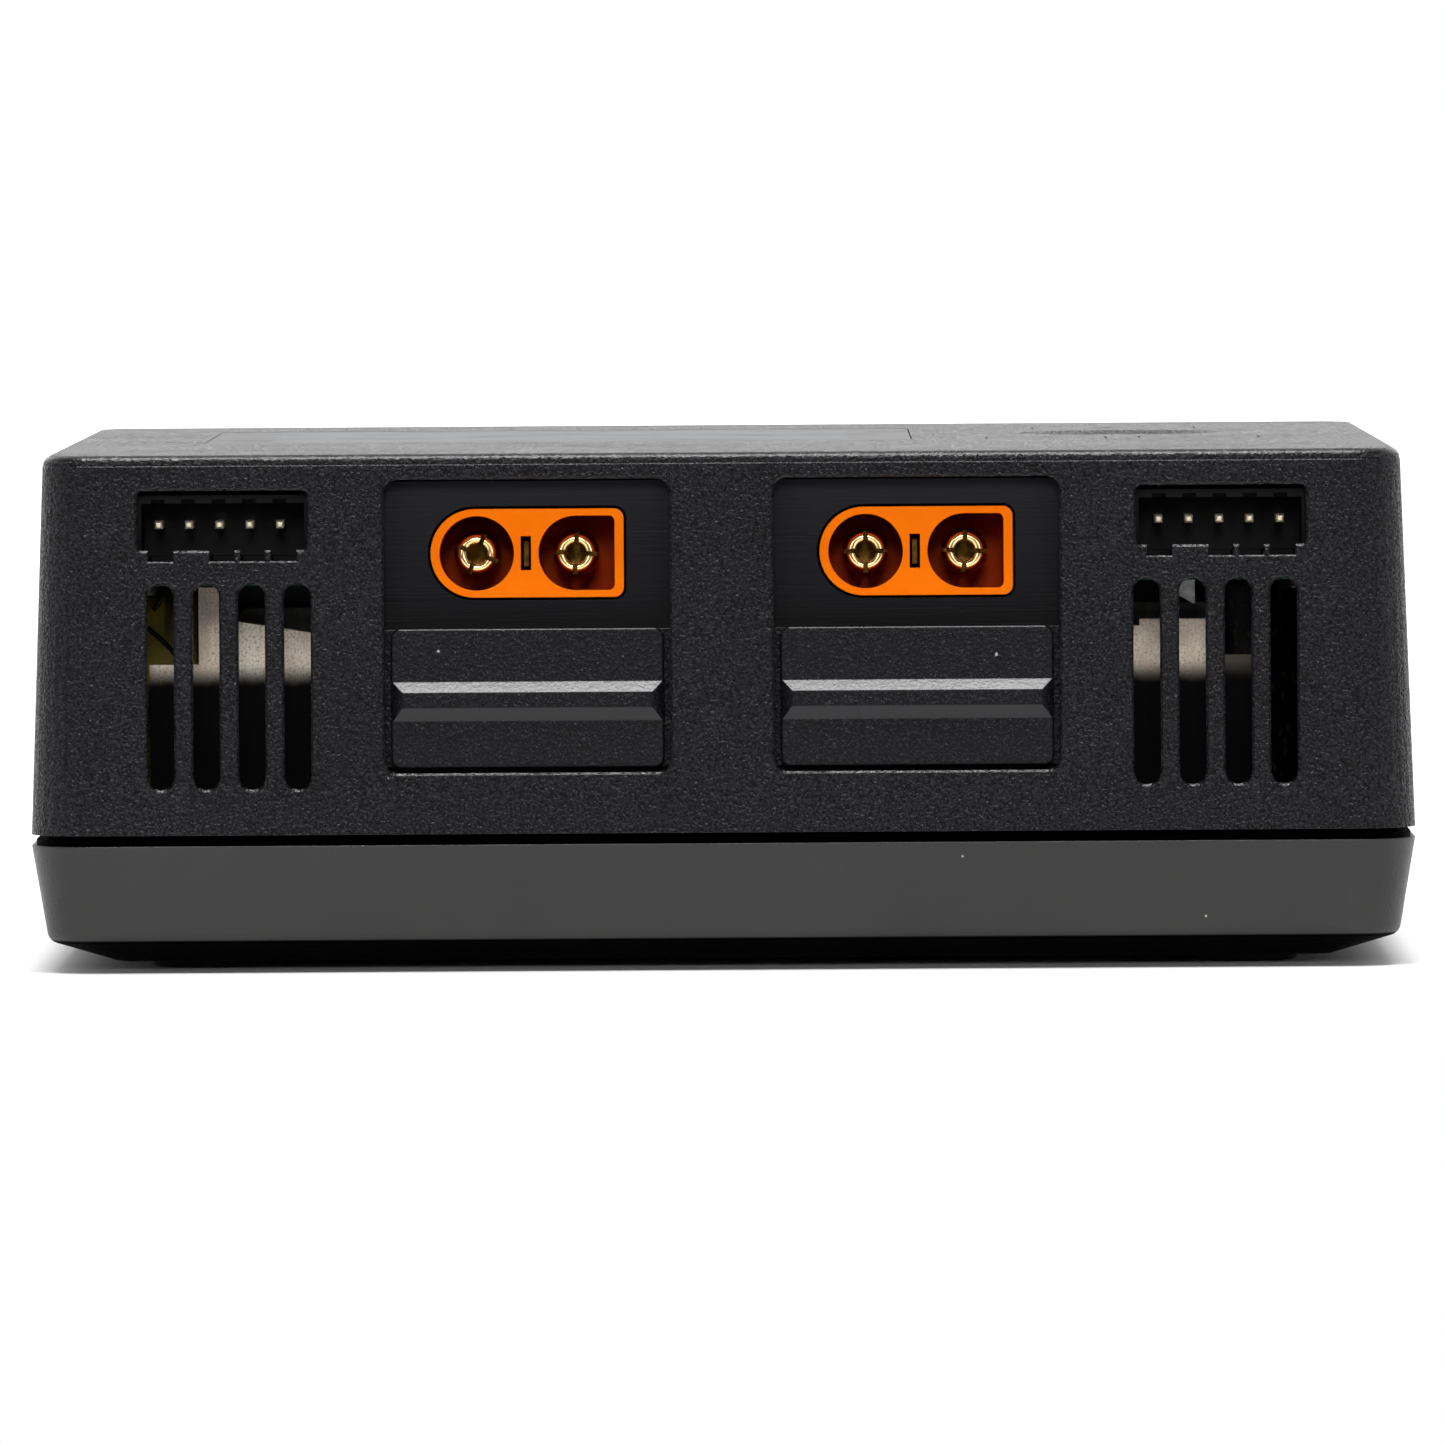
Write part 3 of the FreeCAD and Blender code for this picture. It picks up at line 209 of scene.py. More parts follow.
    def from_middle(self, node_name, axis):
        """How far a point lies from the middle of a CAD node's box on one axis."""
        corner_low, corner_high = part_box(node_name)
        index = "XYZ".index(axis)
        middle = (corner_low[index] + corner_high[index]) / 2
        return self.maths("ABSOLUTE", self.maths("SUBTRACT", self.axis(axis), middle))

    def past_edge(self, node_name, axis, inset):
        """How far a point lies outside that box on one axis, once the box is drawn in by inset."""
        corner_low, corner_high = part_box(node_name)
        index = "XYZ".index(axis)
        half = (corner_high[index] - corner_low[index]) / 2
        return self.maths("SUBTRACT", self.from_middle(node_name, axis), half - inset)

    def past_frame(self, node_name, inset):
        """The same for a level panel's outline, on X and Y together."""
        sides = [self.past_edge(node_name, axis, inset) for axis in "XY"]
        return self.maths("MAXIMUM", sides[0], sides[1])

    def specks(self, share=0.965):
        """A mask of sparse specks and short lint of dust."""
        wobble = self.new("ShaderNodeTexNoise")
        wobble.inputs["Scale"].default_value = 900.0  # bends of about a millimetre, so that lint curls
        self.join(self.place, wobble, "Vector")
        nudge = self.new("ShaderNodeVectorMath", operation="SCALE")
        self.join(wobble.outputs["Color"], nudge, 0)
        nudge.inputs["Scale"].default_value = 0.7 * MM
        moved = self.new("ShaderNodeVectorMath", operation="ADD")
        self.join(self.place, moved, 0)
        self.join(nudge.outputs["Vector"], moved, 1)
        cell = self.new("ShaderNodeTexVoronoi")
        cell.inputs["Scale"].default_value = 700.0  # one speck at most in each 1.4 mm cell
        self.join(moved.outputs["Vector"], cell, "Vector")
        near = self.spread(cell.outputs["Distance"], 0.10, 0.04)
        chosen = self.maths("GREATER_THAN", self.axis("X", cell.outputs["Color"]), share)
        return self.maths("MULTIPLY", near, chosen)


# ---- plastics ------------------------------------------------------------------------------
SEAM_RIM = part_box("upper_shell")[0][2] - 0.1 * MM  # the lower shell's rim, under the upper shell's lip
BEVEL_TOP = 2.62 * MM  # the top of the bevel round the base


def plain(name, colour, roughness, patches, tooth, specular=0.5):
    """A single material. patches is how far its colour strays and over what size; tooth is its relief."""
    finish = Finish(name, colour, roughness, specular=specular)
    finish.feed("Base Color", finish.vary(colour, *patches))
    size, detail, depth = tooth
    finish.bump(finish.noise(size, detail=detail), depth)
    return finish.material


def spark_plastic(
    name,
    colour,
    roughness,
    grain_size,
    grain_depth,
    contrast=1.0,
    specular=0.1,
    dust=0.965,
    polish=0.022,
):
    """Dark moulded plastic with an eroded grain: dull pits painted dark as shade in their hollows, and
    smoother tops that catch the light.

    Sloping edges, between upright walls and level faces, are polished by handling. A metallic mask carries
    the polish, and its colour is how much the edges mirror.
    """
    finish = Finish(name, colour, roughness, specular=specular)
    rounded = finish.soften_edges(0.12 * MM)
    worn = finish.edge_mask(rounded)
    pits = finish.cells(grain_size * 1.3, feature="SMOOTH_F1")
    folds = finish.noise(grain_size, detail=2.0, rough=0.6, distortion=0.4)
    grain = finish.maths("ADD", finish.maths("MULTIPLY", pits, 0.5), folds)
    tops = finish.spread(folds, 0.42, 0.60)
    base = finish.vary(colour, 0.16, 14 * MM)
    # painted shade: the grain's low places are darkened, down to a tenth of the colour, as if shaded in the
    # hollows
    shaded_pits = finish.mix(tops, scaled(colour, 1.0 - 0.9 * contrast), base)
    rubbed = finish.mix(finish.maths("MULTIPLY", worn, 0.3), shaded_pits, scaled(colour, 2.4))
    dusty = finish.mix(finish.specks(dust), rubbed, DUST)

    facing = finish.axis("Z", rounded)
    slope = finish.maths("ABSOLUTE", facing)
    off_upright = finish.spread(slope, 0.3, 0.5)
    off_level = finish.spread(slope, 0.93, 0.85)
    polished = finish.maths("MULTIPLY", off_upright, off_level)
    under = finish.spread(facing, 0.2, -0.2)
    above_shine = scaled((1.0, 1.0, 1.0), polish)
    under_shine = scaled((2.4, 2.4, 2.5), polish)
    shine = finish.mix(under, above_shine, under_shine)
    finish.feed("Base Color", finish.mix(polished, dusty, shine))
    finish.feed("Metallic", polished)
    smudge = finish.noise(22 * MM, detail=4.0, rough=0.65)
    satin = finish.spread(smudge, 0.25, 0.75, roughness - 0.03, roughness + 0.04)
    dull = finish.spread(tops, 0.0, 0.8, 0.30 * contrast, 0.0)
    grain_left = finish.spread(polished, 0.0, 1.0, 1.0, 0.2)
    finish.feed("Roughness", finish.maths("ADD", satin, finish.maths("MULTIPLY", dull, grain_left)))
    finish.bump(finish.maths("MULTIPLY", grain, grain_left), grain_depth)
    return finish.material


def lower_plastic(name, colour):
    """The lower shell: fine satin plastic, painted black as shade in the seam's groove and on the bevel over
    the floor.
    """
    finish = Finish(name, colour, 0.34, specular=0.42)
    rounded = finish.soften_edges(0.12 * MM)
    worn = finish.edge_mask(rounded)
    height = finish.axis("Z")
    bevel = finish.spread(height, BEVEL_TOP + 0.13 * MM, BEVEL_TOP - 0.02 * MM)
    groove = finish.spread(height, SEAM_RIM, SEAM_RIM + 0.04 * MM)
    # painted shade: the groove and the bevel are made black and metallic, so they mirror almost nothing
    painted_shade = finish.maths("MAXIMUM", bevel, groove)
    folds = finish.noise(0.28 * MM, detail=2.0, rough=0.6)
    patches = finish.vary(colour, 0.2, 14 * MM)
    base = finish.mix(finish.maths("MULTIPLY", worn, 0.3), patches, (0.028, 0.027, 0.026))
    dusty = finish.mix(finish.specks(0.975), base, DUST)
    finish.feed("Base Color", finish.mix(painted_shade, dusty, SHADE_BLACK))
    finish.feed("Metallic", painted_shade)
    smudge = finish.noise(22 * MM, detail=4.0, rough=0.65)
    satin = finish.spread(smudge, 0.3, 0.7, 0.28, 0.43)
    satin = finish.maths("ADD", satin, finish.maths("MULTIPLY", painted_shade, 0.55))
    finish.feed("Roughness", finish.maths("ADD", satin, finish.spread(folds, 0.35, 0.65, 0.10, 0.0)))
    finish.bump(folds, 0.035 * MM)
    return finish.material


def smooth_plastic(name, colour, roughness, specular=0.4):
    """Moulded plastic without grain: faint flow marks, handling marks and slightly paler edges."""
    finish = Finish(name, colour, roughness, specular=specular)
    rounded = finish.soften_edges(0.1 * MM)
    worn = finish.edge_mask(rounded)
    base = finish.vary(colour, 0.14, 6 * MM)
    rubbed = finish.mix(finish.maths("MULTIPLY", worn, 0.3), base, scaled(colour, 2.2))
    finish.feed("Base Color", rubbed)
    smudge = finish.noise(8 * MM, detail=4.0, rough=0.7)
    finish.feed("Roughness", finish.spread(smudge, 0.25, 0.75, roughness - 0.07, roughness + 0.07))
    flow = finish.noise(0.25 * MM, detail=3.0, stretch=(0.3, 1.0, 1.0))
    finish.bump(flow, 0.006 * MM, 0.5)
    return finish.material


def streaked_plastic(name, colour, roughness):
    """The bays' floors: level tool marks copied from the mould run straight across; painted shade darkens the
    floor below its middle, and painted light makes it paler towards the top.
    """
    finish = Finish(name, colour, roughness, specular=0.06)
    finish.soften_edges(0.08 * MM)
    plate_low, plate_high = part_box("port_plate_left")
    middle = (plate_low[2] + plate_high[2]) / 2
    # painted light and shade: from the middle up the floor is painted paler, up to eleven times, as light
    # falling in from above
    painted_light = finish.spread(finish.axis("Z"), middle, plate_high[2])
    marks = finish.noise(0.16 * MM, detail=4.0, rough=0.65, stretch=(0.02, 1.0, 1.0))
    broad = finish.noise(1.1 * MM, detail=2.0, stretch=(0.03, 1.0, 1.0))
    patch = finish.noise(5 * MM, detail=3.0)
    strength = finish.spread(patch, 0.3, 0.7, 0.35, 1.0)
    streaks = finish.maths("MULTIPLY", finish.spread(marks, 0.35, 0.7), strength)
    streaked = finish.mix(streaks, scaled(colour, 0.55), scaled(colour, 1.6))
    finish.feed("Base Color", finish.mix(painted_light, streaked, scaled(colour, 11.0)))
    finish.feed("Roughness", finish.spread(broad, 0.3, 0.7, roughness - 0.06, roughness + 0.08))
    finish.bump(marks, 0.02 * MM, 0.8)
    return finish.material


def orange_plastic():
    """The sockets' translucent orange plastic, painted deep red as shade inside their cavities."""
    colour = (1.0, 0.175, 0.0)
    finish = Finish("orange_socket_plastic", colour, 0.36, specular=0.3)
    finish.put("Specular Tint", (1.0, 0.45, 0.1, 1.0))
    finish.put("Subsurface Weight", 0.12)
    finish.put("Subsurface Radius", (1.0, 0.3, 0.05))
    finish.put("Subsurface Scale", 0.6 * MM)
    finish.soften_edges(0.12 * MM)
    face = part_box("small_socket_left")[0][1]  # the same on both sides
    # painted shade: the deeper inside a cavity, the darker and redder the colour
    depth = finish.spread(finish.axis("Y"), face + 0.6 * MM, face + 4.0 * MM)
    finish.feed("Base Color", finish.mix(depth, finish.vary(colour, 0.06, 3 * MM), (0.42, 0.012, 0.0)))
    smudge = finish.noise(2.5 * MM, detail=4.0)
    finish.feed("Roughness", finish.spread(smudge, 0.3, 0.7, 0.30, 0.44))
    finish.bump(finish.noise(0.3 * MM, detail=3.0), 0.008 * MM)
    return finish.material


def wheel_rubber():
    """The thumb wheel's ribbed rubber, polished by use on its crests."""
    colour = (0.028, 0.028, 0.03)
    finish = Finish("wheel_rubber", colour, 0.6)
    rounded = finish.soften_edges(0.15 * MM)
    worn = finish.edge_mask(rounded)
    finish.feed("Base Color", finish.mix(worn, finish.vary(colour, 0.2, 1.5 * MM), (0.06, 0.06, 0.063)))
    finish.feed("Roughness", finish.spread(worn, 0.0, 1.0, 0.66, 0.42))
    finish.bump(finish.noise(0.12 * MM, detail=2.0), 0.012 * MM)
    return finish.material


def label_film():
    """A blank printed label: pale film with a thin dark frame just inside its edge."""
    pale = (0.55, 0.55, 0.56)
    finish = Finish("rating_label_film", pale, 0.4)
    outside = finish.past_frame("rating_label", 1.5 * MM)
    line = finish.maths("LESS_THAN", finish.maths("ABSOLUTE", outside), 0.12 * MM)
    film = finish.vary(pale, 0.05, 9 * MM)
    finish.feed("Base Color", finish.mix(line, film, (0.03, 0.03, 0.03)))
    finish.feed("Roughness", finish.spread(finish.noise(4 * MM, detail=4.0), 0.3, 0.7, 0.34, 0.5))
    finish.bump(finish.noise(0.5 * MM, detail=2.0), 0.004 * MM)
    return finish.material


# ---- metals --------------------------------------------------------------------------------
def gold_plate():
    """Turned and gold-plated contacts, with fine rings round them. Behind their bright tips they are painted
    darker, as shade down in the sockets.
    """
    finish = Finish("gold_plate", (1.0, 0.73, 0.30), 0.16, metallic=1.0)
    rings = finish.noise(0.10 * MM, detail=2.0, stretch=(0.1, 1.0, 0.1))
    wear = finish.noise(0.7 * MM, detail=4.0, rough=0.65)
    plated = finish.mix(finish.spread(wear, 0.35, 0.7), (1.0, 0.78, 0.38), (0.92, 0.64, 0.24))
    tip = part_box("small_contacts_left")[0][1]  # the same on both sides
    # painted shade: the contacts turn dark brown further back in the socket
    depth = finish.spread(finish.axis("Y"), tip + 0.25 * MM, tip + 0.9 * MM)
    finish.feed("Base Color", finish.mix(depth, plated, (0.20, 0.10, 0.02)))
    finish.feed("Roughness", finish.spread(wear, 0.3, 0.75, 0.14, 0.26))
    finish.bump(rings, 0.002 * MM, 0.6)
    return finish.material


def tin_plate():
    """The balance pins: dull tin with a warm cast."""
    finish = Finish("tin_plate", (0.95, 0.84, 0.66), 0.3, metallic=0.75)
    finish.soften_edges(0.16 * MM)
    dull = finish.noise(0.3 * MM, detail=3.0)
    tin = finish.mix(finish.spread(dull, 0.3, 0.7), (1.0, 0.90, 0.70), (0.85, 0.74, 0.56))
    finish.feed("Base Color", tin)
    finish.feed("Roughness", finish.spread(dull, 0.3, 0.7, 0.26, 0.42))
    finish.bump(finish.noise(0.12 * MM), 0.004 * MM)
    return finish.material


TONGUE_HALF_WIDTH = 3.6 * MM
TONGUE_HALF_HEIGHT = 0.45 * MM


def nickel_plate():
    """Drawn and nickel-plated metal. The USB socket's tongue, inside its shell, is black plastic."""
    finish = Finish("nickel_plate", (0.72, 0.71, 0.68), 0.24, metallic=1.0)
    finish.soften_edges(0.06 * MM)
    across = finish.maths("LESS_THAN", finish.from_middle("usb_socket", "X"), TONGUE_HALF_WIDTH)
    upright = finish.maths("LESS_THAN", finish.from_middle("usb_socket", "Z"), TONGUE_HALF_HEIGHT)
    tongue = finish.maths("MULTIPLY", across, upright)
    dull = finish.noise(0.9 * MM, detail=4.0)
    plate = finish.mix(finish.spread(dull, 0.3, 0.7), (0.74, 0.73, 0.70), (0.60, 0.59, 0.56))
    finish.feed("Base Color", finish.mix(tongue, plate, (0.012, 0.012, 0.012)))
    finish.feed("Metallic", finish.maths("SUBTRACT", 1.0, tongue))
    finish.feed("Roughness", finish.spread(dull, 0.3, 0.7, 0.18, 0.36))
    finish.bump(finish.noise(0.15 * MM, stretch=(1.0, 0.1, 1.0)), 0.004 * MM)
    return finish.material


def black_steel():
    """Blackened screws, bright where the driver has rubbed their recesses."""
    dark = (0.10, 0.10, 0.105)
    finish = Finish("blackened_steel", dark, 0.36, metallic=1.0)
    rounded = finish.soften_edges(0.1 * MM)
    worn = finish.edge_mask(rounded)
    blackened = finish.vary(dark, 0.25, 1 * MM)
    finish.feed("Base Color", finish.mix(worn, blackened, (0.42, 0.41, 0.40)))
    finish.feed("Roughness", finish.spread(finish.noise(0.6 * MM, detail=4.0), 0.3, 0.7, 0.28, 0.48))
    finish.bump(finish.noise(0.15 * MM, detail=2.0), 0.006 * MM)
    return finish.material


PAINTED_SHADE_TOP = 25.4 * MM  # where the painted shade on the plates' lower half begins to show
SHADE_SIDE_START = 40.0 * MM  # the right plate is painted dark as shade from here outwards


def brushed_aluminium():
    """Upright brushed plates, painted black as shade over their lower half. One end is painted dark as shade.
    """
    finish = Finish("brushed_aluminium", (0.62, 0.56, 0.50), 0.38, metallic=1.0, specular=0.06)
    brush = finish.noise(0.14 * MM, detail=4.0, rough=0.7, stretch=(1.0, 1.0, 0.015))
    stain = finish.noise(2.4 * MM, detail=4.0, rough=0.6, stretch=(1.0, 1.0, 0.5))
    grit = finish.noise(0.22 * MM, detail=3.0, rough=0.7)
    bare = finish.mix(finish.spread(brush, 0.3, 0.7), (0.72, 0.62, 0.50), (1.0, 0.93, 0.82))
    bare = finish.mix(finish.spread(grit, 0.5, 0.66), bare, (0.44, 0.35, 0.27))
    stained_and_shaded = finish.mix(finish.spread(stain, 0.45, 0.75), bare, (0.52, 0.40, 0.31))
    # painted shade: the right plate's outer end is darkened
    painted_shade_side = finish.spread(finish.axis("X"), SHADE_SIDE_START, SHADE_SIDE_START + 1.2 * MM)
    stained_and_shaded = finish.mix(painted_shade_side, stained_and_shaded, (0.10, 0.085, 0.07))
    # painted shade: the lower half turns black and loses its metal, under a wavy edge
    lip = finish.maths("ADD", finish.axis("Z"), finish.maths("MULTIPLY", stain, 0.8 * MM))
    film = finish.spread(lip, PAINTED_SHADE_TOP, PAINTED_SHADE_TOP - 2.0 * MM, smooth=True)
    finish.feed("Base Color", finish.mix(film, stained_and_shaded, (0.001, 0.001, 0.0012)))
    finish.feed("Metallic", finish.maths("SUBTRACT", 1.0, film))
    finish.feed("Roughness", finish.spread(brush, 0.3, 0.7, 0.42, 0.6))
    finish.bump(brush, 0.012 * MM, 0.7)
    return finish.material


# ---- boards and what stands on them --------------------------------------------------------
def board_laminate():
    """Dark green solder mask over faint copper tracks, with tinned pads."""
    finish = Finish("board_laminate", (0.006, 0.035, 0.014), 0.32)
    tracks = finish.cells(2.6 * MM, feature="DISTANCE_TO_EDGE")
    track = finish.spread(tracks, 0.10, 0.06)
    mask = finish.mix(track, (0.005, 0.030, 0.012), (0.012, 0.065, 0.026))
    pads = finish.maths("LESS_THAN", finish.cells(3.4 * MM), 0.10)
    finish.feed("Base Color", finish.mix(pads, mask, (0.62, 0.61, 0.58)))
    finish.feed("Metallic", pads)
    finish.feed("Roughness", finish.spread(finish.noise(3 * MM, detail=3.0), 0.3, 0.7, 0.26, 0.42))
    finish.bump(track, 0.03 * MM, 0.6)
    return finish.material


def coil_tape():
    """Yellow polyester tape in overlapping turns, with darker laps."""
    finish = Finish("yellow_coil_tape", (0.62, 0.42, 0.02), 0.28)
    wrap = finish.noise(6 * MM, detail=2.0, stretch=(2.5, 0.4, 0.4))
    laps = finish.spread(finish.noise(1.6 * MM, detail=1.0, stretch=(1.0, 0.1, 0.1)), 0.58, 0.66)
    tape = finish.mix(finish.spread(wrap, 0.35, 0.65), (0.40, 0.30, 0.015), (0.66, 0.50, 0.03))
    finish.feed("Base Color", finish.mix(laps, tape, (0.16, 0.11, 0.008)))
    finish.feed("Roughness", finish.spread(wrap, 0.3, 0.7, 0.2, 0.38))
    finish.bump(laps, 0.05 * MM, 0.7)
    return finish.material


def capacitor_sleeve():
    """Black shrink sleeve with a pale polarity stripe and faint ink; a can's flat end is bare aluminium."""
    black = (0.002, 0.002, 0.003)
    finish = Finish("capacitor_sleeve", black, 0.3, specular=0.2)
    normal = finish.new("ShaderNodeNewGeometry").outputs["Normal"]
    top = finish.spread(finish.axis("Z", normal), 0.85, 0.95)
    stripe = finish.spread(finish.axis("X", normal), 0.93, 0.95)
    flecks = finish.spread(finish.noise(0.5 * MM, detail=2.0, stretch=(1.0, 1.0, 0.4)), 0.60, 0.66)
    print_ink = finish.mix(flecks, black, (0.030, 0.030, 0.010))
    sleeve = finish.mix(stripe, print_ink, (0.35, 0.35, 0.36))
    finish.feed("Base Color", finish.mix(top, sleeve, (0.6, 0.6, 0.6)))
    finish.feed("Metallic", top)
    finish.feed("Roughness", finish.spread(finish.noise(1.5 * MM, detail=3.0), 0.3, 0.7, 0.24, 0.42))
    finish.bump(finish.noise(0.8 * MM, detail=2.0), 0.01 * MM)
    return finish.material


def copper_winding():
    """Enamelled copper laid in close turns round the toroid."""
    finish = Finish("enamelled_copper", (0.45, 0.14, 0.04), 0.3, metallic=0.7)
    wave = finish.new("ShaderNodeTexWave", wave_type="BANDS", bands_direction="DIAGONAL")
    wave.inputs["Scale"].default_value = 380.0  # bands about a millimetre apart
    wave.inputs["Distortion"].default_value = 1.5
    finish.join(finish.place, wave, "Vector")
    turns = wave.outputs["Fac"]
    finish.feed("Base Color", finish.mix(turns, (0.16, 0.045, 0.015), (0.55, 0.19, 0.06)))
    finish.bump(turns, 0.2 * MM)
    return finish.material


def insulator_film():
    """Thin black sheet, glossy and slightly creased."""
    colour = (0.008, 0.008, 0.009)
    finish = Finish("insulator_film", colour, 0.22)
    crease = finish.noise(12 * MM, detail=3.0)
    finish.feed("Base Color", finish.vary(colour, 0.25, 5 * MM))
    finish.feed("Roughness", finish.spread(crease, 0.3, 0.7, 0.18, 0.34))
    finish.bump(crease, 0.3 * MM, 0.4)
    return finish.material


# ---- display -------------------------------------------------------------------------------
def smoked_lens():
    """Anti-glare smoked acrylic over an unlit screen: a black printed border round a grey-blue panel."""
    finish = Finish("smoked_lens", (0.004, 0.004, 0.005), 0.42, specular=0.2)
    border = finish.spread(finish.past_frame("display_lens", 5.4 * MM), -0.05 * MM, 0.05 * MM)
    glow = finish.spread(finish.noise(30 * MM, detail=1.0), 0.3, 0.7)
    panel = finish.mix(glow, (0.010, 0.013, 0.017), (0.016, 0.020, 0.026))
    finish.feed("Base Color", finish.mix(border, panel, (0.003, 0.003, 0.0035)))
    print_marks = finish.noise(9 * MM, detail=6.0, rough=0.7)
    finish.feed("Roughness", finish.spread(print_marks, 0.5, 0.75, 0.40, 0.50))
    finish.soften_edges(0.1 * MM)
    finish.bump(finish.noise(0.16 * MM, detail=2.0), 0.02 * MM)
    return finish.material


CASE_BLACK = (0.0138, 0.0134, 0.0166)
DOOR_BLACK = (0.0056, 0.0054, 0.0082)

finishes = {
    "case_upper_plastic": spark_plastic(
        "case_upper_plastic", CASE_BLACK, 0.20, 0.24 * MM, 0.25 * MM, polish=0.017
    ),
    "case_lower_plastic": lower_plastic("case_lower_plastic", (0.013, 0.0125, 0.012)),
    "door_plastic": spark_plastic(
        "door_plastic",
        DOOR_BLACK,
        0.18,
        0.25 * MM,
        0.07 * MM,
        contrast=0.9,
        specular=0.13,
        polish=0.017,
    ),
    # the bays' colour here is their painted shade; streaked_plastic paints the top paler as light
    "bay_plastic": streaked_plastic("bay_plastic", (0.0013, 0.0013, 0.0016), 0.34),
    "button_plastic": spark_plastic(
        "button_plastic", (0.028, 0.028, 0.03), 0.36, 0.22 * MM, 0.03 * MM, contrast=0.3, dust=1.0
    ),
    "header_plastic": smooth_plastic("header_plastic", (0.002, 0.002, 0.0022), 0.5, specular=0.1),
    "chip_plastic": smooth_plastic("chip_plastic", (0.012, 0.012, 0.013), 0.5),
    "inner_plastic": smooth_plastic("inner_plastic", (0.02, 0.02, 0.02), 0.45),
    "inlet_plastic": smooth_plastic("inlet_plastic", (0.014, 0.014, 0.0145), 0.4),
    "fan_plastic": smooth_plastic("fan_plastic", (0.012, 0.012, 0.0125), 0.38),
    "orange_plastic": orange_plastic(),
    "foot_rubber": plain(
        "foot_rubber", (0.01, 0.01, 0.0105), 0.8, (0.3, 2 * MM), (0.2 * MM, 3.0, 0.03 * MM), specular=0.15
    ),
    "wheel_rubber": wheel_rubber(),
    "label": label_film(),
    "gold_plate": gold_plate(),
    "tinned_contacts": tin_plate(),
    "nickel_plate": nickel_plate(),
    "steel_screws": black_steel(),
    "aluminium": brushed_aluminium(),
    "board_laminate": board_laminate(),
    "coil_tape": coil_tape(),
    "capacitor_sleeve": capacitor_sleeve(),
    "copper_winding": copper_winding(),
    "ferrite": plain(
        "sintered_ferrite",
        (0.008, 0.008, 0.009),
        0.6,
        (0.35, 1.2 * MM),
        (0.2 * MM, 4.0, 0.02 * MM),
        specular=0.2,
    ),
    "film_box": plain(
        "film_capacitor_box", (0.42, 0.33, 0.05), 0.42, (0.12, 4 * MM), (0.25 * MM, 2.0, 0.01 * MM)
    ),
    "insulator_film": insulator_film(),
    "lcd_panel": plain(
        "lcd_panel", (0.010, 0.012, 0.016), 0.18, (0.2, 10 * MM), (0.3 * MM, 2.0, 0.003 * MM)
    ),
    "smoked_lens": smoked_lens(),
}

for part in frame["record"]["subparts"]:
    mesh = nodes[part["node"]].data
    for index in range(len(mesh.materials)):
        mesh.materials[index] = finishes[part["material_slot"]]


# ---- small trim ----------------------------------------------------------------------------
WIRE_R = 0.2 * MM
# The leads' bends in millimetres: X, Y from where the wire lies on the coil's front, and Z.
LEAD_ROUTES = {
    "coil_lead_a": [(-46.6, -0.2, 31.4), (-46.9, -0.3, 31.0), (-46.9, -0.3, 29.9), (-47.6, -0.1, 29.2)],
    "coil_lead_b": [
        (-48.2, 0.0, 27.8),
        (-47.0, 0.0, 26.8),
        (-46.2, 0.0, 26.0),
        (-45.3, 0.0, 24.9),
        (-44.6, 0.0, 23.0),
    ],
}

PAPER_LOW = 27.6 * MM
PAPER_TOP = 29.5 * MM
PAPER_CUT = 0.6 * MM
PAPER_THICKNESS = 0.3 * MM
PAPER_GAP = 0.02 * MM  # between a plate's back and its paper
PAPER_REACH = {"left": (-40.3 * MM, -31.2 * MM), "right": (31.2 * MM, 40.2 * MM)}

# The shield's corner in millimetres: X, and Z from the upper board's underside.
TAB_OUTLINE = [(37.2, 0.0), (39.25, 0.0), (39.25, -2.45), (37.5, -1.45), (37.2, -1.3)]
TAB_BEHIND = 1.2 * MM  # behind the plate's front
TAB_THICKNESS = 0.4 * MM

# Each cap's dots in millimetres from its middle.
BUTTON_MARKS = {
    "channel_1_button": [(0.0, 0.0)],
    "channel_2_button": [(-1.3, 0.0), (1.3, 0.0)],
    "back_button": [(-1.6, 0.0), (-0.5, 0.9), (-0.5, -0.9)],
}
DOT_R = 0.5 * MM
DOT_FLATNESS = 0.24  # a dot's height against its width
DOT_SINK = 0.22 * MM  # from the cap's top to the dot's middle, in the recess


def shield_tin():
    """Tinned sheet with dull stains."""
    finish = Finish("shield_tin", (0.55, 0.56, 0.56), 0.42, metallic=1.0)
    stain = finish.noise(0.8 * MM, detail=5.0, rough=0.7)
    stained = finish.mix(finish.spread(stain, 0.35, 0.65), (0.72, 0.73, 0.72), (0.36, 0.36, 0.35))
    finish.feed("Base Color", stained)
    finish.feed("Roughness", finish.spread(stain, 0.3, 0.7, 0.36, 0.52))
    finish.bump(finish.noise(0.2 * MM, detail=2.0), 0.01 * MM)
    return finish.material


def piece(name, data, material, body):
    """Adds a mesh or a curve as a named piece that rides on a body."""
    data.materials.append(material)
    made = bpy.data.objects.new(name, data)
    bpy.context.scene.collection.objects.link(made)
    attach(made, body)


def mesh_from(shape, name):
    mesh = bpy.data.meshes.new(name)
    shape.to_mesh(mesh)
    shape.free()
    return mesh


def sheet_mesh(name, outline, front, thickness):
    """A thin upright sheet from its outline in X and Z, with its front face at Y = front and soft edges."""
    shape = bmesh.new()
    corners = [shape.verts.new((x, front, z)) for x, z in outline]
    face = shape.faces.new(corners)
    moved = bmesh.ops.extrude_face_region(shape, geom=[face])["geom"]
    back = [item for item in moved if isinstance(item, bmesh.types.BMVert)]
    bmesh.ops.translate(shape, verts=back, vec=(0, thickness, 0))
    bmesh.ops.recalc_face_normals(shape, faces=shape.faces)
    bmesh.ops.bevel(shape, geom=shape.edges[:], offset=thickness * 0.2, segments=2, affect="EDGES")
    return mesh_from(shape, name)


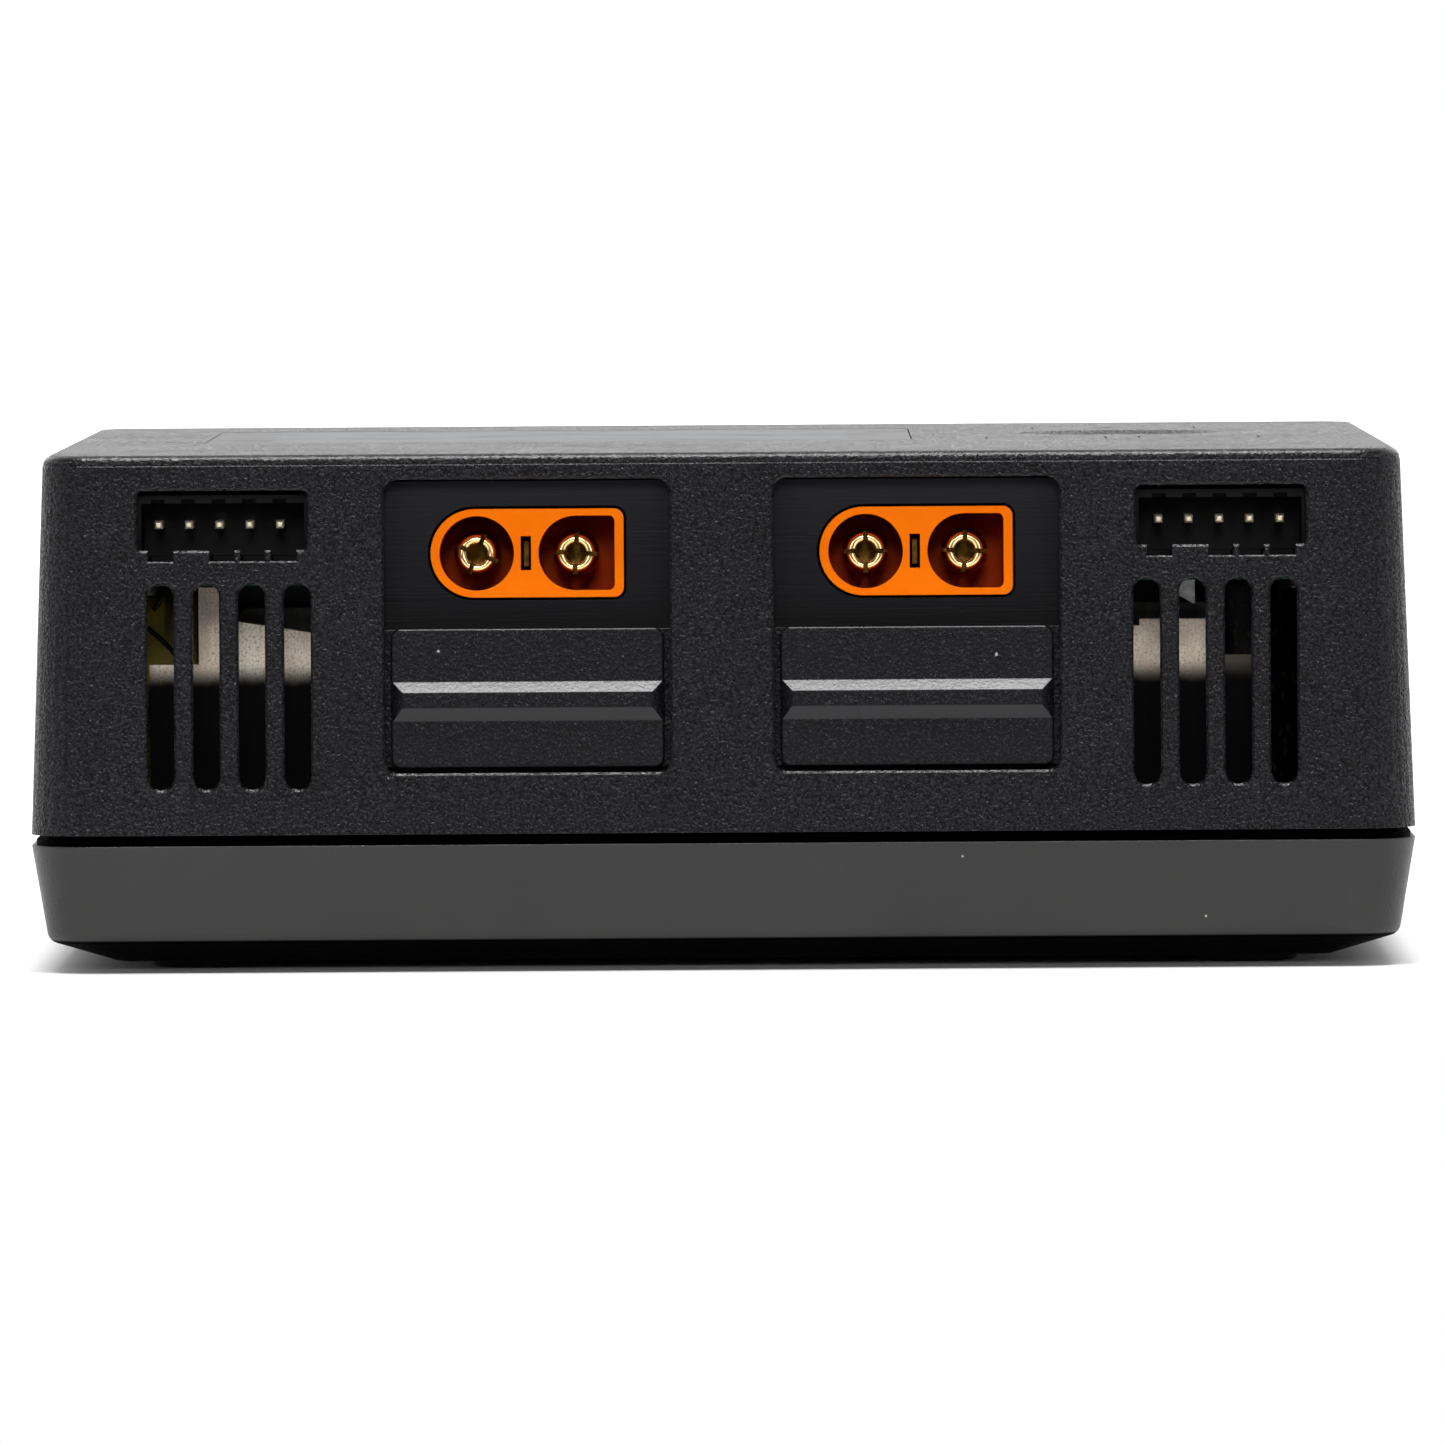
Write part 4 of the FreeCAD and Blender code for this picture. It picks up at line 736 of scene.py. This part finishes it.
def plate_papers():
    """Insulating paper glued behind each plate's top edge, with one corner cut."""
    grey = (0.075, 0.074, 0.070)
    paper = plain("edge_paper", grey, 0.7, (0.35, 1.5 * MM), (0.15 * MM, 4.0, 0.03 * MM), specular=0.3)
    for side, (x0, x1) in PAPER_REACH.items():
        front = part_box("heat_sink_" + side)[1][1] + PAPER_GAP
        outline = [
            (x0, PAPER_LOW),
            (x1, PAPER_LOW),
            (x1, PAPER_TOP),
            (x0 + PAPER_CUT, PAPER_TOP),
            (x0, PAPER_TOP - PAPER_CUT),
        ]
        name = "plate_paper_" + side
        piece(name, sheet_mesh(name, outline, front, PAPER_THICKNESS), paper, "case")


def shield_tab():
    """The corner of a tin shield that hangs from the upper board, behind the right vents."""
    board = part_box("control_board")[0][2]
    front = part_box("heat_sink_right")[0][1] + TAB_BEHIND
    outline = [(x * MM, board + z * MM) for x, z in TAB_OUTLINE]
    piece("shield_tab", sheet_mesh("shield_tab", outline, front, TAB_THICKNESS), shield_tin(), "case")


def transformer_leads():
    """Two enamelled leads laid over the taped coil's front."""
    black = (0.004, 0.004, 0.004)
    enamel = plain("black_wire_enamel", black, 0.3, (0.3, 1 * MM), (0.2 * MM, 2.0, 0.01 * MM))
    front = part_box("transformer_winding")[0][1] - WIRE_R
    for name, route in LEAD_ROUTES.items():
        curve = bpy.data.curves.new(name, "CURVE")
        curve.dimensions = "3D"
        curve.bevel_depth = WIRE_R
        curve.bevel_resolution = 3
        curve.use_fill_caps = True
        spline = curve.splines.new("NURBS")
        spline.points.add(len(route) - 1)
        for point, (x, y, z) in zip(spline.points, route):
            point.co = (x * MM, front + y * MM, z * MM, 1.0)
        spline.order_u = 3
        spline.use_endpoint_u = True
        piece(name, curve, enamel, "case")


def button_marks():
    """Drops of pale paint in the recesses of the three caps."""
    white = (0.62, 0.62, 0.60)
    paint = plain("mark_paint", white, 0.45, (0.1, 0.3 * MM), (0.15 * MM, 2.0, 0.01 * MM))
    for button, places in BUTTON_MARKS.items():
        cap_low, cap_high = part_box(button)
        middle = (cap_low + cap_high) / 2
        for index, (x, y) in enumerate(places):
            shape = bmesh.new()
            bmesh.ops.create_uvsphere(shape, u_segments=24, v_segments=12, radius=DOT_R)
            bmesh.ops.scale(shape, verts=shape.verts, vec=(1.0, 1.0, DOT_FLATNESS))
            centre = (middle[0] + x * MM, middle[1] + y * MM, cap_high[2] - DOT_SINK)
            bmesh.ops.translate(shape, verts=shape.verts, vec=centre)
            for face in shape.faces:
                face.smooth = True
            mesh = mesh_from(shape, button + "_mark")
            piece(f"{button}_mark_{index + 1}", mesh, paint, button.replace("button", "cap"))


plate_papers()
shield_tab()
transformer_leads()
button_marks()


# ---- floor, light and camera ---------------------------------------------------------------
LIGHTS = (
    # name, energy, and in degrees: spread, tilt off straight down towards the back, turn about Z
    ("overhead", 5.6, 26, 10, 0),
    ("front_fill", 0.8, 14, 72, 0),
    ("fill_left", 0.35, 20, 78, -26),
    ("fill_right", 0.35, 20, 78, 26),
)
# The surround's strength, from dim in front of the charger to bright behind it.
SURROUND = {"From Min": -0.65, "From Max": 0.5, "To Min": 0.05, "To Max": 1.7}
CAMERA_AWAY = 1.290  # in front of the front wall
CAMERA_SIDE = 0.005
CAMERA_RISE = 0.0292  # above the top
CAMERA_LENS = 392.0  # on a 36 mm sensor
CAMERA_DIP = 2.28  # degrees below level
CAMERA_ROLL = -0.37  # degrees
FLOOR_GREY = (0.56, 0.56, 0.56)
FLOOR_SIZE = 60.0
FLOOR_FRONT = 0.12  # how far the floor reaches in front of the charger


def studio():
    """A pale floor, one broad overhead light, and a surround that is dimmer on the camera's side."""
    middle = low[1] - FLOOR_FRONT + FLOOR_SIZE / 2
    bpy.ops.mesh.primitive_plane_add(size=FLOOR_SIZE, location=(0, middle, 0))
    floor = bpy.context.object
    floor.name = "floor"
    paint = Finish("floor_paint", FLOOR_GREY, 0.6, specular=0.2)
    paint.feed("Base Color", paint.vary(FLOOR_GREY, 0.01, 0.2))
    floor.data.materials.append(paint.material)

    for name, energy, spread, tilt, turn in LIGHTS:
        data = bpy.data.lights.new(name, "SUN")
        data.energy = energy
        data.angle = math.radians(spread)
        lamp = bpy.data.objects.new(name, data)
        lamp.rotation_euler = Euler((math.radians(tilt), 0, math.radians(turn)))
        bpy.context.scene.collection.objects.link(lamp)

    world = bpy.data.worlds.new("studio")
    world.use_nodes = True
    bpy.context.scene.world = world
    tree = world.node_tree
    place = tree.nodes.new("ShaderNodeTexCoord")
    split = tree.nodes.new("ShaderNodeSeparateXYZ")
    tree.links.new(place.outputs["Generated"], split.inputs["Vector"])
    dim = tree.nodes.new("ShaderNodeMapRange")
    dim.interpolation_type = "SMOOTHSTEP"
    for socket, value in SURROUND.items():
        dim.inputs[socket].default_value = value
    tree.links.new(split.outputs["Y"], dim.inputs["Value"])
    seen = tree.nodes.new("ShaderNodeLightPath")
    pick = tree.nodes.new("ShaderNodeMix")
    unseen, backdrop = MIX_NUMBERS
    tree.links.new(seen.outputs["Is Camera Ray"], pick.inputs[MIX_FACTOR])
    tree.links.new(dim.outputs["Result"], pick.inputs[unseen])
    pick.inputs[backdrop].default_value = 1.0
    tree.links.new(pick.outputs[MIX_NUMBER_RESULT], tree.nodes["Background"].inputs["Strength"])
    tree.nodes["Background"].inputs["Color"].default_value = (1.0, 1.0, 1.0, 1.0)


def camera():
    """Straight on to the front from a little above, with a long lens; the horizontals rise to the right."""
    data = bpy.data.cameras.new("camera")
    data.sensor_width = 36.0
    data.lens = CAMERA_LENS
    data.clip_end = 200.0
    cam = bpy.data.objects.new("camera", data)
    tilt = Euler((math.radians(90 - CAMERA_DIP), 0, 0)).to_matrix().to_4x4()
    roll = Matrix.Rotation(math.radians(CAMERA_ROLL), 4, "Z")
    turn = Matrix.Rotation(math.atan2(CAMERA_SIDE, CAMERA_AWAY), 4, "Z")
    place = Matrix.Translation((CAMERA_SIDE, low[1] - CAMERA_AWAY, high[2] + CAMERA_RISE))
    cam.matrix_world = place @ turn @ tilt @ roll
    bpy.context.scene.collection.objects.link(cam)
    bpy.context.scene.camera = cam


studio()
camera()
bpy.context.scene.view_settings.view_transform = "Standard"
